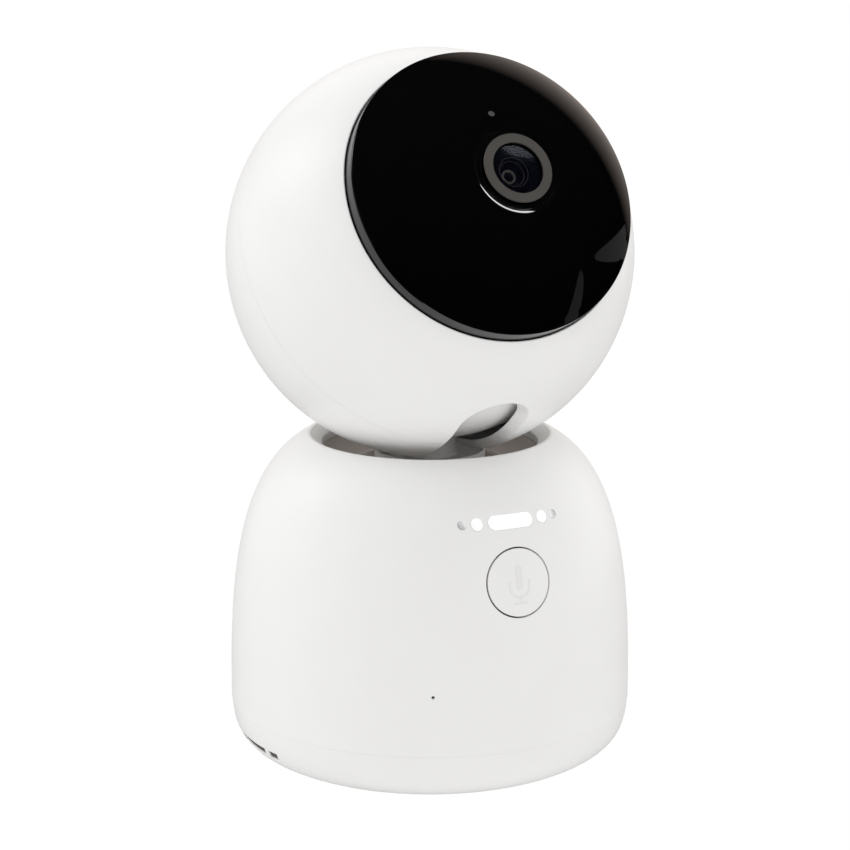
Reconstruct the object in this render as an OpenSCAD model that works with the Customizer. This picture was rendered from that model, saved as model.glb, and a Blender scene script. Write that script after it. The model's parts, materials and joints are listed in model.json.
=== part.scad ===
// Pan and tilt baby monitor camera: a ball-shaped camera head on a round base.
// The front faces -Y, the origin is on the floor under the pan axis, and lengths are in millimetres.

/* [Base] */
// Largest radius of the base
base_r = 40.25; // [39.5:0.25:41]
// Height of the rim at the top of the base
base_h = 65; // [64:0.5:66]
// Outer radius of the rim
rim_r = 24.4; // [24:0.1:25]
// Height of the seam between the bottom cover and the housing
base_seam_z = 11.2; // [10.5:0.1:12]
// Wall thickness of the base
base_wall = 2.2; // [1.8:0.1:2.4]

/* [Head] */
// Radius of the ball
ball_r = 40; // [39.5:0.25:40.5]
// Height of the ball's centre
ball_z = 100.9; // [100.5:0.1:102]
// Wall thickness of the ball
ball_wall = 2.2; // [1.8:0.1:2.4]
// Radius of the dark front dome
dome_r = 41.9; // [41.5:0.1:42.5]
// Radius of the dome's round edge
dome_edge_r = 28.1; // [27.5:0.1:28.5]
// Upward tilt of the lens at rest
rest_tilt = 30; // [20:1:40]

/* [Neck] */
// Width of the slot in the ball
slot_w = 13; // [12.6:0.1:13.4]
// Angle from the lens axis down to the slot's front end
slot_front = 69; // [67:1:70]
// Angle from the lens axis round to the slot's rear end
slot_rear = 181; // [180:1:183]
// Radius of the round foot of the neck
neck_r = 11; // [10.5:0.1:11.2]

/* [Controls] */
// Radius of the talk button
button_r = 6.35; // [6:0.05:6.4]
// Height of the talk button's centre
button_z = 43.7; // [42:0.1:45]

/* [Gears] */
// Tooth module of the pan gears
pan_module = 0.8; // [0.8:0.1:0.8]
// Teeth on the pan gear
pan_gear_teeth = 45; // [45:1:45]
// Teeth on both pinions
pinion_teeth = 12; // [12:1:12]
// Tooth module of the tilt gears
tilt_module = 0.5; // [0.5:0.1:0.5]
// Teeth on the tilt gear
tilt_gear_teeth = 42; // [42:1:42]

/* [Hidden] */
$fn = 96;
eps = 0.05;

white = [0.93, 0.93, 0.92];
black = [0.03, 0.03, 0.035];
steel = [0.72, 0.73, 0.75];
brass = [0.80, 0.66, 0.34];
board_green = [0.05, 0.30, 0.17];
grey = [0.45, 0.44, 0.42];
amber_glass = [0.25, 0.22, 0.35];
nylon = [0.88, 0.87, 0.80];

// Outline of the base
floor_z = 0.6;
foot_flat_r = 30.6;
side_z = 14;
inner_r = base_r - base_wall;
lower_curve = [[foot_flat_r, 0], [base_r - 1.89, 2.98], [base_r, 3.93], [base_r, side_z]];
upper_curve = [[base_r, side_z], [base_r, 38.2], [base_r - 2.65, base_h - 6.3], [rim_r, base_h]];
collar_r = 21.45;
collar_z = base_h - 1.7;

// Pan drive, from the bottom up
frame_z = 46.4;
frame_t = 2.4;
hub_top = 51;
pan_gear_z = 51.7;
pan_gear_h = 3;
neck_foot_z = pan_gear_z + pan_gear_h;
journal_r = 7;
bush_r = 8.6;
run_gap = 0.05;
pan_centre = pan_module * (pan_gear_teeth + pinion_teeth) / 2;
pan_motor_r = 12;
pan_motor_h = 19;
pan_motor_y = pan_centre - 8;
pan_shaft_r = 2.5;

// Tilt drive, measured from the ball's centre
yoke_z = 78.2;
yoke_t = 3;
arm_in = 11.4;
arm_out = 14;
tilt_gear_x = 14.6;
tilt_gear_t = 2.4;
cheek_in = 17.2;
cheek_out = 19.8;
axle_r = 3;
tilt_centre = tilt_module * (tilt_gear_teeth + pinion_teeth) / 2;
tilt_motor_r = 7.5;
tilt_shaft_r = 1.2;
stem_r = 5.9;
cable_r = 2.2;

// Head, measured along the lens axis from the ball's centre
head_seam = 2;
recess_off = 27;
opening_r = 26.6;
bracket_off = 21.8;
ear_off = 21.3;
lug_off = 22.6;
board_off = 23.2;
board_t = 1.2;
led_off = 29.4;
lens_r = 6.8;
glass_r = 5;
barrel_r = 5.9;
lens_front = 41.6;
post_x = 22.6;
post_y = 9.5;
cover_r = ball_r - ball_wall - 0.5;
cover_t = 1.2;
cover_w = 18;
cover_front = 57;
cover_back = 101;
neck_gap_r = ball_r + 0.6;

// Bottom of the base
screw_pcd_r = 31.5;
foot_pcd_r = 24;
board_z = 15;
board_r = 27;
board_top = board_z + 1.6;
socket_z = board_top + 1.7;
badge_z = 54.7;
mic_angle = 25.6;
mic_z = 23;

// Corner positions shared by several pieces
screw_angles = [45, 135, 225, 315];
foot_angles = [0, 90, 180, 270];
frame_angles = [28, 152, 215, 325];
gear_screw_angles = [30, 150, 270];
led_angles = [0, 38, 142, 180, 218, 322];
side_vents = [[75.5, 80.2], [81.6, 98.4], [99.8, 104.5]];

// ---- curves and gears ----

// Point on a cubic curve with four control points
function bezier(p, t) =
    pow(1 - t, 3) * p[0] + 3 * pow(1 - t, 2) * t * p[1] + 3 * (1 - t) * t * t * p[2] + pow(t, 3) * p[3];

// Direction of the same curve
function bezier_dir(p, t) =
    let (d = pow(1 - t, 2) * (p[1] - p[0]) + 2 * (1 - t) * t * (p[2] - p[1]) + t * t * (p[3] - p[2]))
    d / norm(d);

// Point set back from the curve, towards the inside of the base
function inset(p, t, depth) =
    let (d = bezier_dir(p, t)) bezier(p, t) + depth * [-d[1], d[0]];

function run(p, from, to, steps, depth = 0) =
    [for (i = [0:steps]) inset(p, from + (to - from) * i / steps, depth)];

// Parameter at which the curve passes a height
function at_height(p, z, lo = 0, hi = 1, n = 24) =
    let (mid = (lo + hi) / 2)
    n == 0 ? mid : bezier(p, mid)[1] < z ? at_height(p, z, mid, hi, n - 1) : at_height(p, z, lo, mid, n - 1);

// One involute gear outline with its first tooth centred on +X
pressure = 25;
function involute(rb, a) = rb * [cos(a) + a * PI / 180 * sin(a), sin(a) - a * PI / 180 * cos(a)];
function roll(rb, r) = r <= rb ? 0 : sqrt(r * r / rb / rb - 1) * 180 / PI;
function polar_angle(p) = atan2(p[1], p[0]);
module gear_outline(teeth, m, slack = 0.06) {
    pitch_r = teeth * m / 2;
    base_circle = pitch_r * cos(pressure);
    root_r = pitch_r - 1.15 * m;
    tip_r = pitch_r + 0.85 * m;
    start_r = max(base_circle, root_r);
    lead = polar_angle(involute(base_circle, roll(base_circle, pitch_r)));
    half_tooth = 90 / teeth - slack / 2 / pitch_r * 180 / PI;
    flank_r = [for (i = [0:3]) start_r + (tip_r - start_r) * i / 3];
    flank_a = [
        for (r = flank_r) half_tooth + lead - polar_angle(involute(base_circle, roll(base_circle, r)))
    ];
    one_side = concat([[root_r, flank_a[0]]], [for (i = [0:3]) [flank_r[i], flank_a[i]]]);
    polygon([
        for (k = [0:teeth - 1]) each concat(
            [for (q = one_side) q[0] * [cos(k * 360 / teeth - q[1]), sin(k * 360 / teeth - q[1])]],
            [for (i = [4:-1:0]) one_side[i][0] * [
                cos(k * 360 / teeth + one_side[i][1]), sin(k * 360 / teeth + one_side[i][1])
            ]]
        )
    ]);
}

// ---- placing ----

// Copies of its children on a circle about the pan axis, all facing the same way
module ring_of(angles, radius, z) {
    for (a = angles) rotate([0, 0, a]) translate([radius, 0, z]) rotate([0, 0, -a]) children();
}

// The lens frame: +Z runs out along the lens axis, +Y is up and the ball's centre is the origin
module lens_frame() translate([0, 0, ball_z]) rotate([90 - rest_tilt, 0, 0]) children();

// The same frame with the lens level, for the pieces that stay with the neck
module yoke_frame() translate([0, 0, ball_z]) rotate([90, 0, 0]) children();

// Turns +Z onto +X, so that a revolved piece lies on the tilt axis
module on_tilt_axis() rotate([0, 90, 0]) children();

// Sweeps a profile about the tilt axis between two angles, counted from the lens axis downwards
module tilt_sweep(from, to) {
    on_tilt_axis() rotate([0, 0, 180 + from]) rotate_extrude(angle = to - from) children();
}

// The talk button's frame: +Z runs out of the base
module button_frame() {
    t = at_height(upper_curve, button_z);
    p = bezier(upper_curve, t);
    d = bezier_dir(upper_curve, t);
    translate([0, -p[0], p[1]]) rotate([90 - atan2(-d[0], d[1]), 0, 0]) children();
}

module tube(r_out, r_in, h) {
    difference() {
        cylinder(r = r_out, h = h);
        translate([0, 0, -1]) cylinder(r = r_in, h = h + 2);
    }
}

// A box centred on X and Y that stands on Z = 0
module slab(x, y, z) translate([-x / 2, -y / 2, 0]) cube([x, y, z]);

// A cap screw pointing down: its head stands on Z = 0
module cap_screw(r, length, head_r, head_h) {
    difference() {
        union() {
            cylinder(r = head_r, h = head_h);
            translate([0, 0, -length]) cylinder(r = r, h = length + eps);
        }
        translate([0, 0, head_h - 0.6]) cylinder(r = head_r * 0.45, h = 1, $fn = 6);
    }
}

// ---- base ----

module base_profile(from_z, depth) {
    low = run(lower_curve, at_height(lower_curve, from_z), 1, 10, depth);
    high = run(upper_curve, 0, 1, 24, depth);
    polygon(concat([[0, low[0][1]]], low, [for (i = [1:24]) high[i]], [[0, high[24][1]]]));
}

module vent_slots() {
    for (side = [-1, 1], v = side_vents) {
        rotate([0, 0, side > 0 ? -90 + v[0] : -90 - v[1]]) {
            rotate_extrude(angle = v[1] - v[0]) translate([34, 4.85]) square([8, 1.3]);
        }
    }
}

module base_housing() {
    color(white) difference() {
        union() {
            rotate_extrude() difference() {
                polygon(concat(
                    [[0, base_seam_z]],
                    run(lower_curve, at_height(lower_curve, base_seam_z), 1, 4),
                    [for (i = [1:26]) inset(upper_curve, i / 26, 0)],
                    [[rim_r - 0.5, base_h], [collar_r, collar_z], [collar_r, base_h - 3.2], [0, base_h - 3.2]]
                ));
                housing_hollow();
                translate([0, 50]) square([collar_r, 20]);
            }
            // bosses for the bottom screws, joined to the wall
            intersection() {
                for (a = screw_angles) rotate([0, 0, a]) {
                    translate([screw_pcd_r, 0, base_seam_z + 3]) cylinder(r = 3.2, h = 12);
                    translate([screw_pcd_r, -1.2, base_seam_z + 3]) cube([7, 2.4, 12]);
                }
                cylinder(r = base_r - 1, h = 40);
            }
            // bosses for the motor frame, hanging from the shoulder
            intersection() {
                for (a = frame_angles) rotate([0, 0, a]) {
                    translate([29.2, 0, frame_z + frame_t + eps]) cylinder(r = 3, h = 9);
                    translate([29.2, -1.2, frame_z + frame_t + eps]) cube([8, 2.4, 9]);
                }
                rotate_extrude() base_profile(base_seam_z, 1);
            }
        }
        ring_of(screw_angles, screw_pcd_r, base_seam_z) cylinder(r = 1.1, h = 12);
        ring_of(frame_angles, 29.2, frame_z) cylinder(r = 0.85, h = 8);
        button_frame() translate([0, 0, -6]) cylinder(r = button_r + 0.2, h = 12);
        // microphone hole
        mic_place() translate([0, 0, -4]) cylinder(r = 0.32, h = 12, $fn = 24);
        // socket opening with its plug recess
        translate([0, 30, socket_z]) rotate([-90, 0, 0]) {
            pill_hole(9.8, 4.2, 12);
            translate([0, 0, base_r - 30 - 1.3]) pill_hole(13.6, 7.6, 3);
        }
    }
}

// A stadium-shaped hole along +Z
module pill_hole(w, h, depth) {
    translate([-(w - h) / 2, -h / 2, 0]) cube([w - h, h, depth]);
    for (side = [-1, 1]) translate([side * (w - h) / 2, 0, 0]) cylinder(r = h / 2, h = depth);
}

// Inside of the housing, up to just under the shoulder
module housing_hollow() {
    top = 1 - 1 / 9;
    polygon(concat(
        [[0, base_seam_z - 1], [inner_r, base_seam_z - 1]],
        run(upper_curve, 0, top, 24, base_wall),
        [[rim_r + 0.8, base_h - 3.2], [0, base_h - 3.2]]
    ));
}

module bottom_cover() {
    cover_top = base_seam_z - 0.08;
    color(white) difference() {
        union() {
            rotate_extrude() difference() {
                polygon(concat(
                    [[0, floor_z]],
                    run(lower_curve, at_height(lower_curve, floor_z), at_height(lower_curve, cover_top), 14),
                    [[0, cover_top]]
                ));
                polygon([
                    [0, 2.8], [foot_flat_r, 2.8], [base_r - 3.9, 5.2], [base_r - 2.6, 8],
                    [base_r - 2.4, 12], [0, 12]
                ]);
            }
            // lip that fits inside the housing
            translate([0, 0, base_seam_z - 2]) tube(inner_r - 0.15, inner_r - 1.25, 3.6);
            // posts for the main board
            ring_of(foot_angles, board_r - 3.5, 2) cylinder(r = 2.4, h = board_z - 2);
            // columns that the bottom screws pass up through
            ring_of(screw_angles, screw_pcd_r, 2) cylinder(r = 3.2, h = base_seam_z + 0.9);
            // seat for the speaker, open between its ribs
            difference() {
                translate([0, 0, 2]) tube(15.2, 12.8, 2.6);
                for (a = [0, 60, 120]) rotate([0, 0, a]) translate([0, 0, 2.8]) slab(40, 9, 4);
            }
        }
        vent_slots();
        ring_of(foot_angles, foot_pcd_r, -1) cylinder(r = 4.3, h = 2.4);
        ring_of(foot_angles, board_r - 3.5, board_z - 7) cylinder(r = 0.85, h = 10);
        ring_of(screw_angles, screw_pcd_r, -1) cylinder(r = 1.35, h = 20);
        ring_of(screw_angles, screw_pcd_r, -1) cylinder(r = 2.6, h = 4.2);
    }
}

module top_dish() {
    bowl = [[collar_r - 0.15, base_h - 3.3], [collar_r - 0.6, 58.6], [18.4, 56.6], [15.4, 58.9]];
    color(grey) rotate_extrude() polygon(concat(
        [[24.4, 60.4], [24.4, base_h - 3.3]],
        [for (i = [0:10]) bezier(bowl, i / 10)],
        [[14.9, 59.2], [14.4, 59.2], [14, 58.8], [14, 56.6], [15.1, 56.6], [15.1, 57.3]],
        [[16.8, 56.6], [19.4, 57.2], [21.6, 59.2], [22, 60.4]]
    ));
}

// A plain silver motif: one bar between two pairs of dots
module front_badge() {
    color(steel) intersection() {
        rotate_extrude() difference() {
            base_profile(base_seam_z, -0.07);
            base_profile(base_seam_z - 0.3, -0.02);
        }
        translate([0, -base_r, badge_z]) rotate([-90, 0, 0]) {
            pill_hole(9.4, 2.6, 12);
            for (side = [-1, 1]) {
                translate([side * 6.9, 0, 0]) cylinder(r = 1.15, h = 12);
                translate([side * 9.7, 0, 0]) cylinder(r = 0.8, h = 12);
            }
        }
    }
}

module rubber_feet() color(grey) ring_of(foot_angles, foot_pcd_r, 0) cylinder(r = 4.2, h = floor_z + 0.8);

module base_screws() {
    color(steel) ring_of(screw_angles, screw_pcd_r, 3.15) rotate([180, 0, 0]) cap_screw(1.05, 17.5, 2.2, 1.6);
}

// ---- boards and sound ----

module main_board() {
    color(board_green) difference() {
        translate([0, 0, board_z]) union() {
            cylinder(r = board_r, h = 1.6);
            translate([0, 24, 0]) slab(18, 25, 1.6);
        }
        ring_of(foot_angles, board_r - 3.5, board_z - 1) cylinder(r = 1.2, h = 4);
    }
}

module board_screws() {
    color(steel) ring_of(foot_angles, board_r - 3.5, board_z + 1.65) cap_screw(0.85, 6, 1.8, 1.2);
}

module processor() color(black) translate([-10, -11, board_top]) slab(14, 14, 1.2);

module wifi_shield() color(steel) translate([12, -7, board_top]) slab(13, 17, 2.4);

module board_chips() {
    color(black) for (p = [[-17, 4], [-9, 8], [10, 9], [2, -19], [17, 8]]) {
        translate([p[0], p[1], board_top]) slab(5, 4, 1);
    }
    color(nylon) for (p = [[-9, -20.5], [8, 17.4], [-8, 17.4]]) {
        translate([p[0], p[1], board_top]) slab(8, 3.6, 4.2);
    }
    color(nylon) translate([0, 0, board_top]) slab(7, 7, 4.4);
}

module usb_socket() {
    color(steel) difference() {
        translate([0, 31.2, socket_z]) rotate([-90, 0, 0]) pill_hole(8.94, 3.26, 7.3);
        translate([0, 33, socket_z]) rotate([-90, 0, 0]) pill_hole(8.34, 2.56, 8);
    }
    color(black) translate([0, 32.6, socket_z - 0.35]) translate([-3.35, 0, 0]) cube([6.7, 5, 0.7]);
}

module antennas() {
    color(board_green) for (side = [-1, 1]) {
        rotate([0, 0, 90 + side * 90 - 12]) translate([0, 0, 20]) rotate_extrude(angle = 24) {
            translate([inner_r - 1.6, 0]) square([0.6, 9]);
        }
    }
}

module speaker_frame() {
    color(black) translate([0, 0, 5.2]) difference() {
        union() {
            cylinder(r = 14.8, h = 1.4);
            translate([0, 0, 1.4 - eps]) cylinder(r1 = 13.4, r2 = 9.4, h = 2.2);
        }
        translate([0, 0, -1]) cylinder(r = 12.2, h = 2.2);
        translate([0, 0, 1.15]) cylinder(r1 = 12.2, r2 = 8, h = 2.5);
    }
}

module speaker_cone() {
    color(grey) translate([0, 0, 5.5]) difference() {
        cylinder(r1 = 11.9, r2 = 6.6, h = 2.6);
        translate([0, 0, -0.3]) cylinder(r1 = 11.9, r2 = 6.6, h = 2.6);
    }
}

module speaker_magnet() color(steel) translate([0, 0, 8.8]) cylinder(r = 8.6, h = 3.6);

module speaker_seal() color(black) translate([0, 0, 4.65]) tube(14.8, 12.8, 0.5);

// Just inside the wall behind the microphone hole: +Z runs out of the base
module mic_place() rotate([0, 0, -mic_angle]) translate([0, -inner_r, mic_z]) rotate([90, 0, 0]) children();

module microphone() {
    color(board_green) mic_place() translate([0, 0, -4]) slab(9, 7, 1);
    color(steel) mic_place() translate([0, 0, -3]) slab(3.8, 3, 1.1);
}

module mic_seal() color(black) mic_place() translate([0, 0, -1.85]) tube(2.2, 0.6, 1.3);

module talk_button() {
    color(white) button_frame() difference() {
        union() {
            intersection() {
                translate([0, 0, -4.4]) cylinder(r = button_r, h = 6);
                translate([0, 0, 0.75 - 45]) sphere(r = 45, $fn = 180);
            }
            translate([0, 0, -4.4]) cylinder(r = button_r + 1.1, h = 0.9);
        }
        translate([0, 0, -5]) cylinder(r = button_r - 1.4, h = 4);
    }
}

module switch_plunger() color(grey) button_frame() translate([0, 0, -8.2]) cylinder(r = 1.5, h = 7.18);

module switch_body() {
    color(black) button_frame() difference() {
        translate([0, 0, -9.8]) slab(6, 6, 3.4);
        translate([0, 0, -9.2]) cylinder(r = 1.56, h = 4);
    }
}

module button_board() {
    color(board_green) button_frame() translate([0, 0, -11.05]) slab(15, 11, 1.2);
    color(nylon) button_frame() translate([0, -3, -13.6]) slab(7, 3.6, 2.5);
}

// ---- pan drive ----

module motor_frame() {
    color(nylon) difference() {
        union() {
            intersection() {
                translate([0, 0, frame_z]) cylinder(r = 32, h = frame_t);
                translate([0, 0, frame_z]) union() {
                    cylinder(r = 22, h = frame_t);
                    for (a = frame_angles) rotate([0, 0, a]) translate([18, 0, 0]) slab(40, 11, frame_t);
                    translate([0, 18, 0]) slab(30, 28, frame_t);
                }
            }
            translate([0, 0, frame_z]) cylinder(r = 12.4, h = hub_top - frame_z);
        }
        translate([0, -30, frame_z - 1]) slab(26, 20, 8);
        translate([0, 0, frame_z - 1]) cylinder(r = bush_r, h = 8);
        translate([0, 0, frame_z - 1]) cylinder(r = 10.6, h = 2.6);
        translate([0, pan_centre, frame_z - 1]) cylinder(r = 4.7, h = 8);
        ring_of(frame_angles, 29.2, frame_z - 1) cylinder(r = 1.15, h = 5);
        for (side = [-1, 1]) translate([side * 14.4, pan_motor_y, frame_z - 1]) cylinder(r = 1, h = 5);
    }
}

module frame_screws() {
    color(steel) ring_of(frame_angles, 29.2, frame_z - eps) rotate([180, 0, 0]) cap_screw(0.8, 8, 2, 1.3);
}

module neck_bush() {
    color(black) {
        translate([0, 0, frame_z + 1.6]) tube(bush_r - 0.01, journal_r + run_gap, hub_top - frame_z - 1.6);
        translate([0, 0, hub_top]) tube(11.6, journal_r + run_gap, 0.6);
    }
}

module pan_motor() {
    color(steel) translate([0, 0, frame_z - pan_motor_h]) difference() {
        union() {
            translate([0, pan_motor_y, 0]) cylinder(r = pan_motor_r, h = pan_motor_h);
            translate([0, pan_motor_y, pan_motor_h - 0.8]) slab(34, 6.4, 0.8);
            translate([0, pan_centre, 0]) translate([0, 0, pan_motor_h - 1]) cylinder(r = 4.4, h = 2.6);
            translate([0, pan_motor_y + 9, 2]) slab(14.6, 9, 12);
        }
        translate([0, pan_centre, pan_motor_h - 8]) cylinder(r = pan_shaft_r + run_gap, h = 12);
        for (side = [-1, 1]) translate([side * 14.4, pan_motor_y, pan_motor_h - 3]) cylinder(r = 1, h = 5);
    }
}

module pan_motor_screws() {
    color(steel) for (side = [-1, 1]) {
        translate([side * 14.4, pan_motor_y, frame_z + frame_t + 0.02]) cap_screw(0.95, 5.4, 1.9, 1.2);
    }
}

module pan_motor_shaft() {
    color(steel) translate([0, pan_centre, frame_z - 6]) cylinder(r = pan_shaft_r, h = 14.4);
}

module pan_pinion() {
    color(nylon) translate([0, pan_centre, pan_gear_z - 0.3]) difference() {
        rotate([0, 0, 90 + 180 / pinion_teeth]) linear_extrude(3.5) gear_outline(pinion_teeth, pan_module);
        translate([0, 0, -1]) cylinder(r = pan_shaft_r, h = 6);
    }
}

module pan_gear() {
    color(nylon) difference() {
        translate([0, 0, pan_gear_z]) rotate([0, 0, 90]) {
            linear_extrude(pan_gear_h) gear_outline(pan_gear_teeth, pan_module);
        }
        translate([0, 0, pan_gear_z - 1]) cylinder(r = journal_r + 0.02, h = 6);
        ring_of(gear_screw_angles, 9.6, pan_gear_z - 1) {
            cylinder(r = 1.1, h = 6);
            cylinder(r = 1.9, h = 2.4);
        }
    }
}

module gear_screws() {
    color(steel) ring_of(gear_screw_angles, 9.6, pan_gear_z + 1.4) rotate([180, 0, 0]) {
        cap_screw(0.95, 5.2, 1.8, 1.2);
    }
}

module retaining_ring() {
    color(steel) translate([0, 0, frame_z + 0.45]) difference() {
        tube(9.6, journal_r - 0.68, 0.8);
        translate([0, -9, -1]) slab(5, 8, 3);
    }
}

// ---- neck and yoke ----

module neck() {
    color(white) difference() {
        union() {
            translate([0, 0, frame_z + 0.1]) cylinder(r = journal_r, h = neck_foot_z - frame_z);
            difference() {
                translate([0, 0, neck_foot_z + 0.02]) cylinder(r = neck_r, h = 8);
                translate([0, 0, ball_z]) sphere(r = neck_gap_r);
            }
            translate([0, 0, neck_foot_z + 1]) cylinder(r = stem_r, h = yoke_z - neck_foot_z - 1);
            translate([0, 0, yoke_z - 1]) cylinder(r = 4.6, h = yoke_t + 3.2);
        }
        translate([0, 0, frame_z - 1]) cylinder(r = cable_r + 0.9, h = 50);
        translate([0, 0, frame_z + 0.4]) tube(9, journal_r - 0.7, 0.9);
        ring_of(gear_screw_angles, 9.6, neck_foot_z - 1) cylinder(r = 0.95, h = 5);
    }
}

module neck_cable() color(black) translate([0, 0, board_z + 6.1]) cylinder(r = cable_r, h = 64);

module slot_cover() {
    color(white) yoke_frame() difference() {
        tilt_sweep(90 - cover_front, 90 + cover_back) intersection() {
            difference() {
                circle(r = cover_r);
                circle(r = cover_r - cover_t);
            }
            translate([30, -cover_w / 2]) square([10, cover_w]);
        }
        rotate([90, 0, 0]) cylinder(r = stem_r + 0.02, h = 45);
    }
}

module tilt_yoke() {
    color(nylon) difference() {
        union() {
            translate([0, 0, yoke_z]) slab(2 * arm_out, 13, yoke_t);
            for (side = [-1, 1]) translate([side > 0 ? arm_in : -arm_out, 0, 0]) {
                translate([0, -6.5, yoke_z]) cube([arm_out - arm_in, 13, ball_z - yoke_z]);
                translate([0, 0, ball_z]) on_tilt_axis() cylinder(r = 6.5, h = arm_out - arm_in);
            }
            translate([arm_in, -6.5, ball_z]) cube([arm_out - arm_in, 13, tilt_centre]);
            translate([arm_in, 0, ball_z + tilt_centre]) on_tilt_axis() {
                cylinder(r = 6.5, h = arm_out - arm_in);
            }
        }
        translate([-30, 0, ball_z]) on_tilt_axis() cylinder(r = axle_r, h = 60);
        translate([0, 0, ball_z + tilt_centre]) on_tilt_axis() cylinder(r = 2.6, h = 30);
        translate([0, 0, yoke_z - 1]) cylinder(r = 4.62, h = 6);
    }
}

module yoke_nut() {
    color(brass) translate([0, 0, yoke_z + yoke_t + 0.02]) difference() {
        cylinder(r = 7.4, h = 2, $fn = 6);
        translate([0, 0, -1]) cylinder(r = 4.62, h = 4);
    }
}

module axle_pins() {
    color(steel) for (side = [-1, 1]) translate([0, 0, ball_z]) rotate([0, side * 90, 0]) {
        translate([0, 0, arm_in - 0.2]) cylinder(r = axle_r, h = cheek_out - arm_in + 0.3);
        translate([0, 0, cheek_out + 0.1]) cylinder(r = 4.3, h = 1.1);
    }
}

module tilt_motor() {
    color(steel) translate([arm_in - 0.05, 0, ball_z + tilt_centre]) rotate([0, -90, 0]) difference() {
        union() {
            cylinder(r = tilt_motor_r, h = 11);
            translate([0, 0, -1.4]) cylinder(r = 2.5, h = 2);
            translate([-4, -10, 3]) slab(6, 8, 6);
        }
        translate([0, 0, -3]) cylinder(r = tilt_shaft_r + run_gap, h = 9);
    }
}

module tilt_motor_shaft() {
    color(steel) translate([arm_in - 5, 0, ball_z + tilt_centre]) on_tilt_axis() {
        cylinder(r = tilt_shaft_r, h = tilt_gear_x + tilt_gear_t + 0.2 - arm_in + 5);
    }
}

module tilt_pinion() {
    color(brass) translate([tilt_gear_x - 0.2, 0, ball_z + tilt_centre]) on_tilt_axis() difference() {
        rotate([0, 0, 180 / pinion_teeth]) {
            linear_extrude(tilt_gear_t + 0.4) gear_outline(pinion_teeth, tilt_module);
        }
        translate([0, 0, -1]) cylinder(r = tilt_shaft_r, h = 6);
    }
}

module tilt_gear() {
    color(nylon) translate([tilt_gear_x, 0, ball_z]) on_tilt_axis() difference() {
        rotate([0, 0, 180]) linear_extrude(tilt_gear_t) gear_outline(tilt_gear_teeth, tilt_module);
        translate([0, 0, -1]) cylinder(r = axle_r + run_gap, h = 6);
    }
}

// ---- head ----

// A ball whose poles are clear of the slot, the seam and the cheeks
module ball(r) rotate([0, 135, 0]) sphere(r = r);

module ball_skin() {
    difference() {
        ball(ball_r);
        ball(ball_r - ball_wall);
    }
}

// The slot that lets the neck into the ball; its round ends are a hair wider than its sides
module slot_cut() {
    end = asin(slot_w / 2 / ball_r);
    side_w = slot_w - 0.04;
    tilt_sweep(slot_front + end, slot_rear - end) translate([30, -side_w / 2]) square([15, side_w]);
    for (a = [slot_front + end, slot_rear - end]) {
        rotate([a, 0, 0]) translate([0, 0, 30]) cylinder(r = slot_w / 2, h = 15);
    }
}

module corners(x, y) for (i = [-1, 1], j = [-1, 1]) translate([i * x, j * y, 0]) children();

module head_front_shell() {
    color(white) lens_frame() difference() {
        union() {
            difference() {
                intersection() {
                    ball_skin();
                    translate([0, 0, head_seam + 0.04]) cylinder(r = 50, h = 50);
                }
                translate([0, 0, recess_off]) cylinder(r = dome_edge_r + 0.12, h = 20);
                cylinder(r = opening_r, h = 50);
            }
            // tongue behind the seam, left out where the slot cover passes
            difference() {
                intersection() {
                    difference() {
                        ball(ball_r - ball_wall + 0.2);
                        ball(ball_r - ball_wall - 1.1);
                    }
                    translate([0, 0, head_seam - 2.2]) cylinder(r = 50, h = 5);
                }
                translate([0, 0, head_seam - 3]) difference() {
                    cylinder(r = 50, h = 3.04);
                    cylinder(r = 37.6, h = 3.04);
                }
                translate([0, 0, -4]) slab(20, 100, 10);
            }
            // lugs for the head screws, joined to the wall
            corners(post_x, post_y) translate([0, 0, lug_off]) cylinder(r = 2.4, h = 2.4);
            intersection() {
                ball(ball_r - 1);
                for (i = [-1, 1], j = [-1, 1]) translate([i * (post_x + 6), j * post_y, lug_off]) {
                    slab(12, 4.8, 2.4);
                }
            }
        }
        corners(post_x, post_y) translate([0, 0, 20]) cylinder(r = 1.2, h = 8);
        slot_cut();
    }
}

module head_rear_shell() {
    color(white) lens_frame() difference() {
        union() {
            intersection() {
                ball_skin();
                translate([0, 0, -50]) cylinder(r = 50, h = 50 + head_seam - 0.04);
            }
            intersection() {
                ball(ball_r - 1);
                union() {
                    corners(post_x, post_y) translate([0, 0, -45]) cylinder(r = 2.4, h = 45 + ear_off - 0.05);
                    // cheeks that carry the axle pins
                    for (side = [-1, 1]) translate([side > 0 ? cheek_in : -cheek_out, 0, 0]) {
                        translate([0, -6.4, -45]) cube([cheek_out - cheek_in, 12.8, 45]);
                        on_tilt_axis() cylinder(r = 6.4, h = cheek_out - cheek_in);
                    }
                }
            }
        }
        translate([-30, 0, 0]) on_tilt_axis() cylinder(r = axle_r + run_gap, h = 60);
        corners(post_x, post_y) translate([0, 0, 12]) cylinder(r = 0.9, h = 12);
        slot_cut();
    }
}

module head_screws() {
    color(steel) lens_frame() corners(post_x, post_y) translate([0, 0, 25.05]) cap_screw(0.85, 9, 1.8, 1.3);
}

module front_dome() {
    color(black) lens_frame() difference() {
        intersection() {
            sphere(r = dome_r);
            translate([0, 0, recess_off + 0.05]) cylinder(r = dome_edge_r, h = 30);
        }
        intersection() {
            sphere(r = dome_r - 1.6);
            cylinder(r = dome_edge_r - 1.5, h = 50);
        }
        cylinder(r = lens_r + 0.2, h = 60);
        translate([0, 0, 40.1]) cylinder(r1 = 7, r2 = 9.6, h = 1.6);
    }
}

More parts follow.
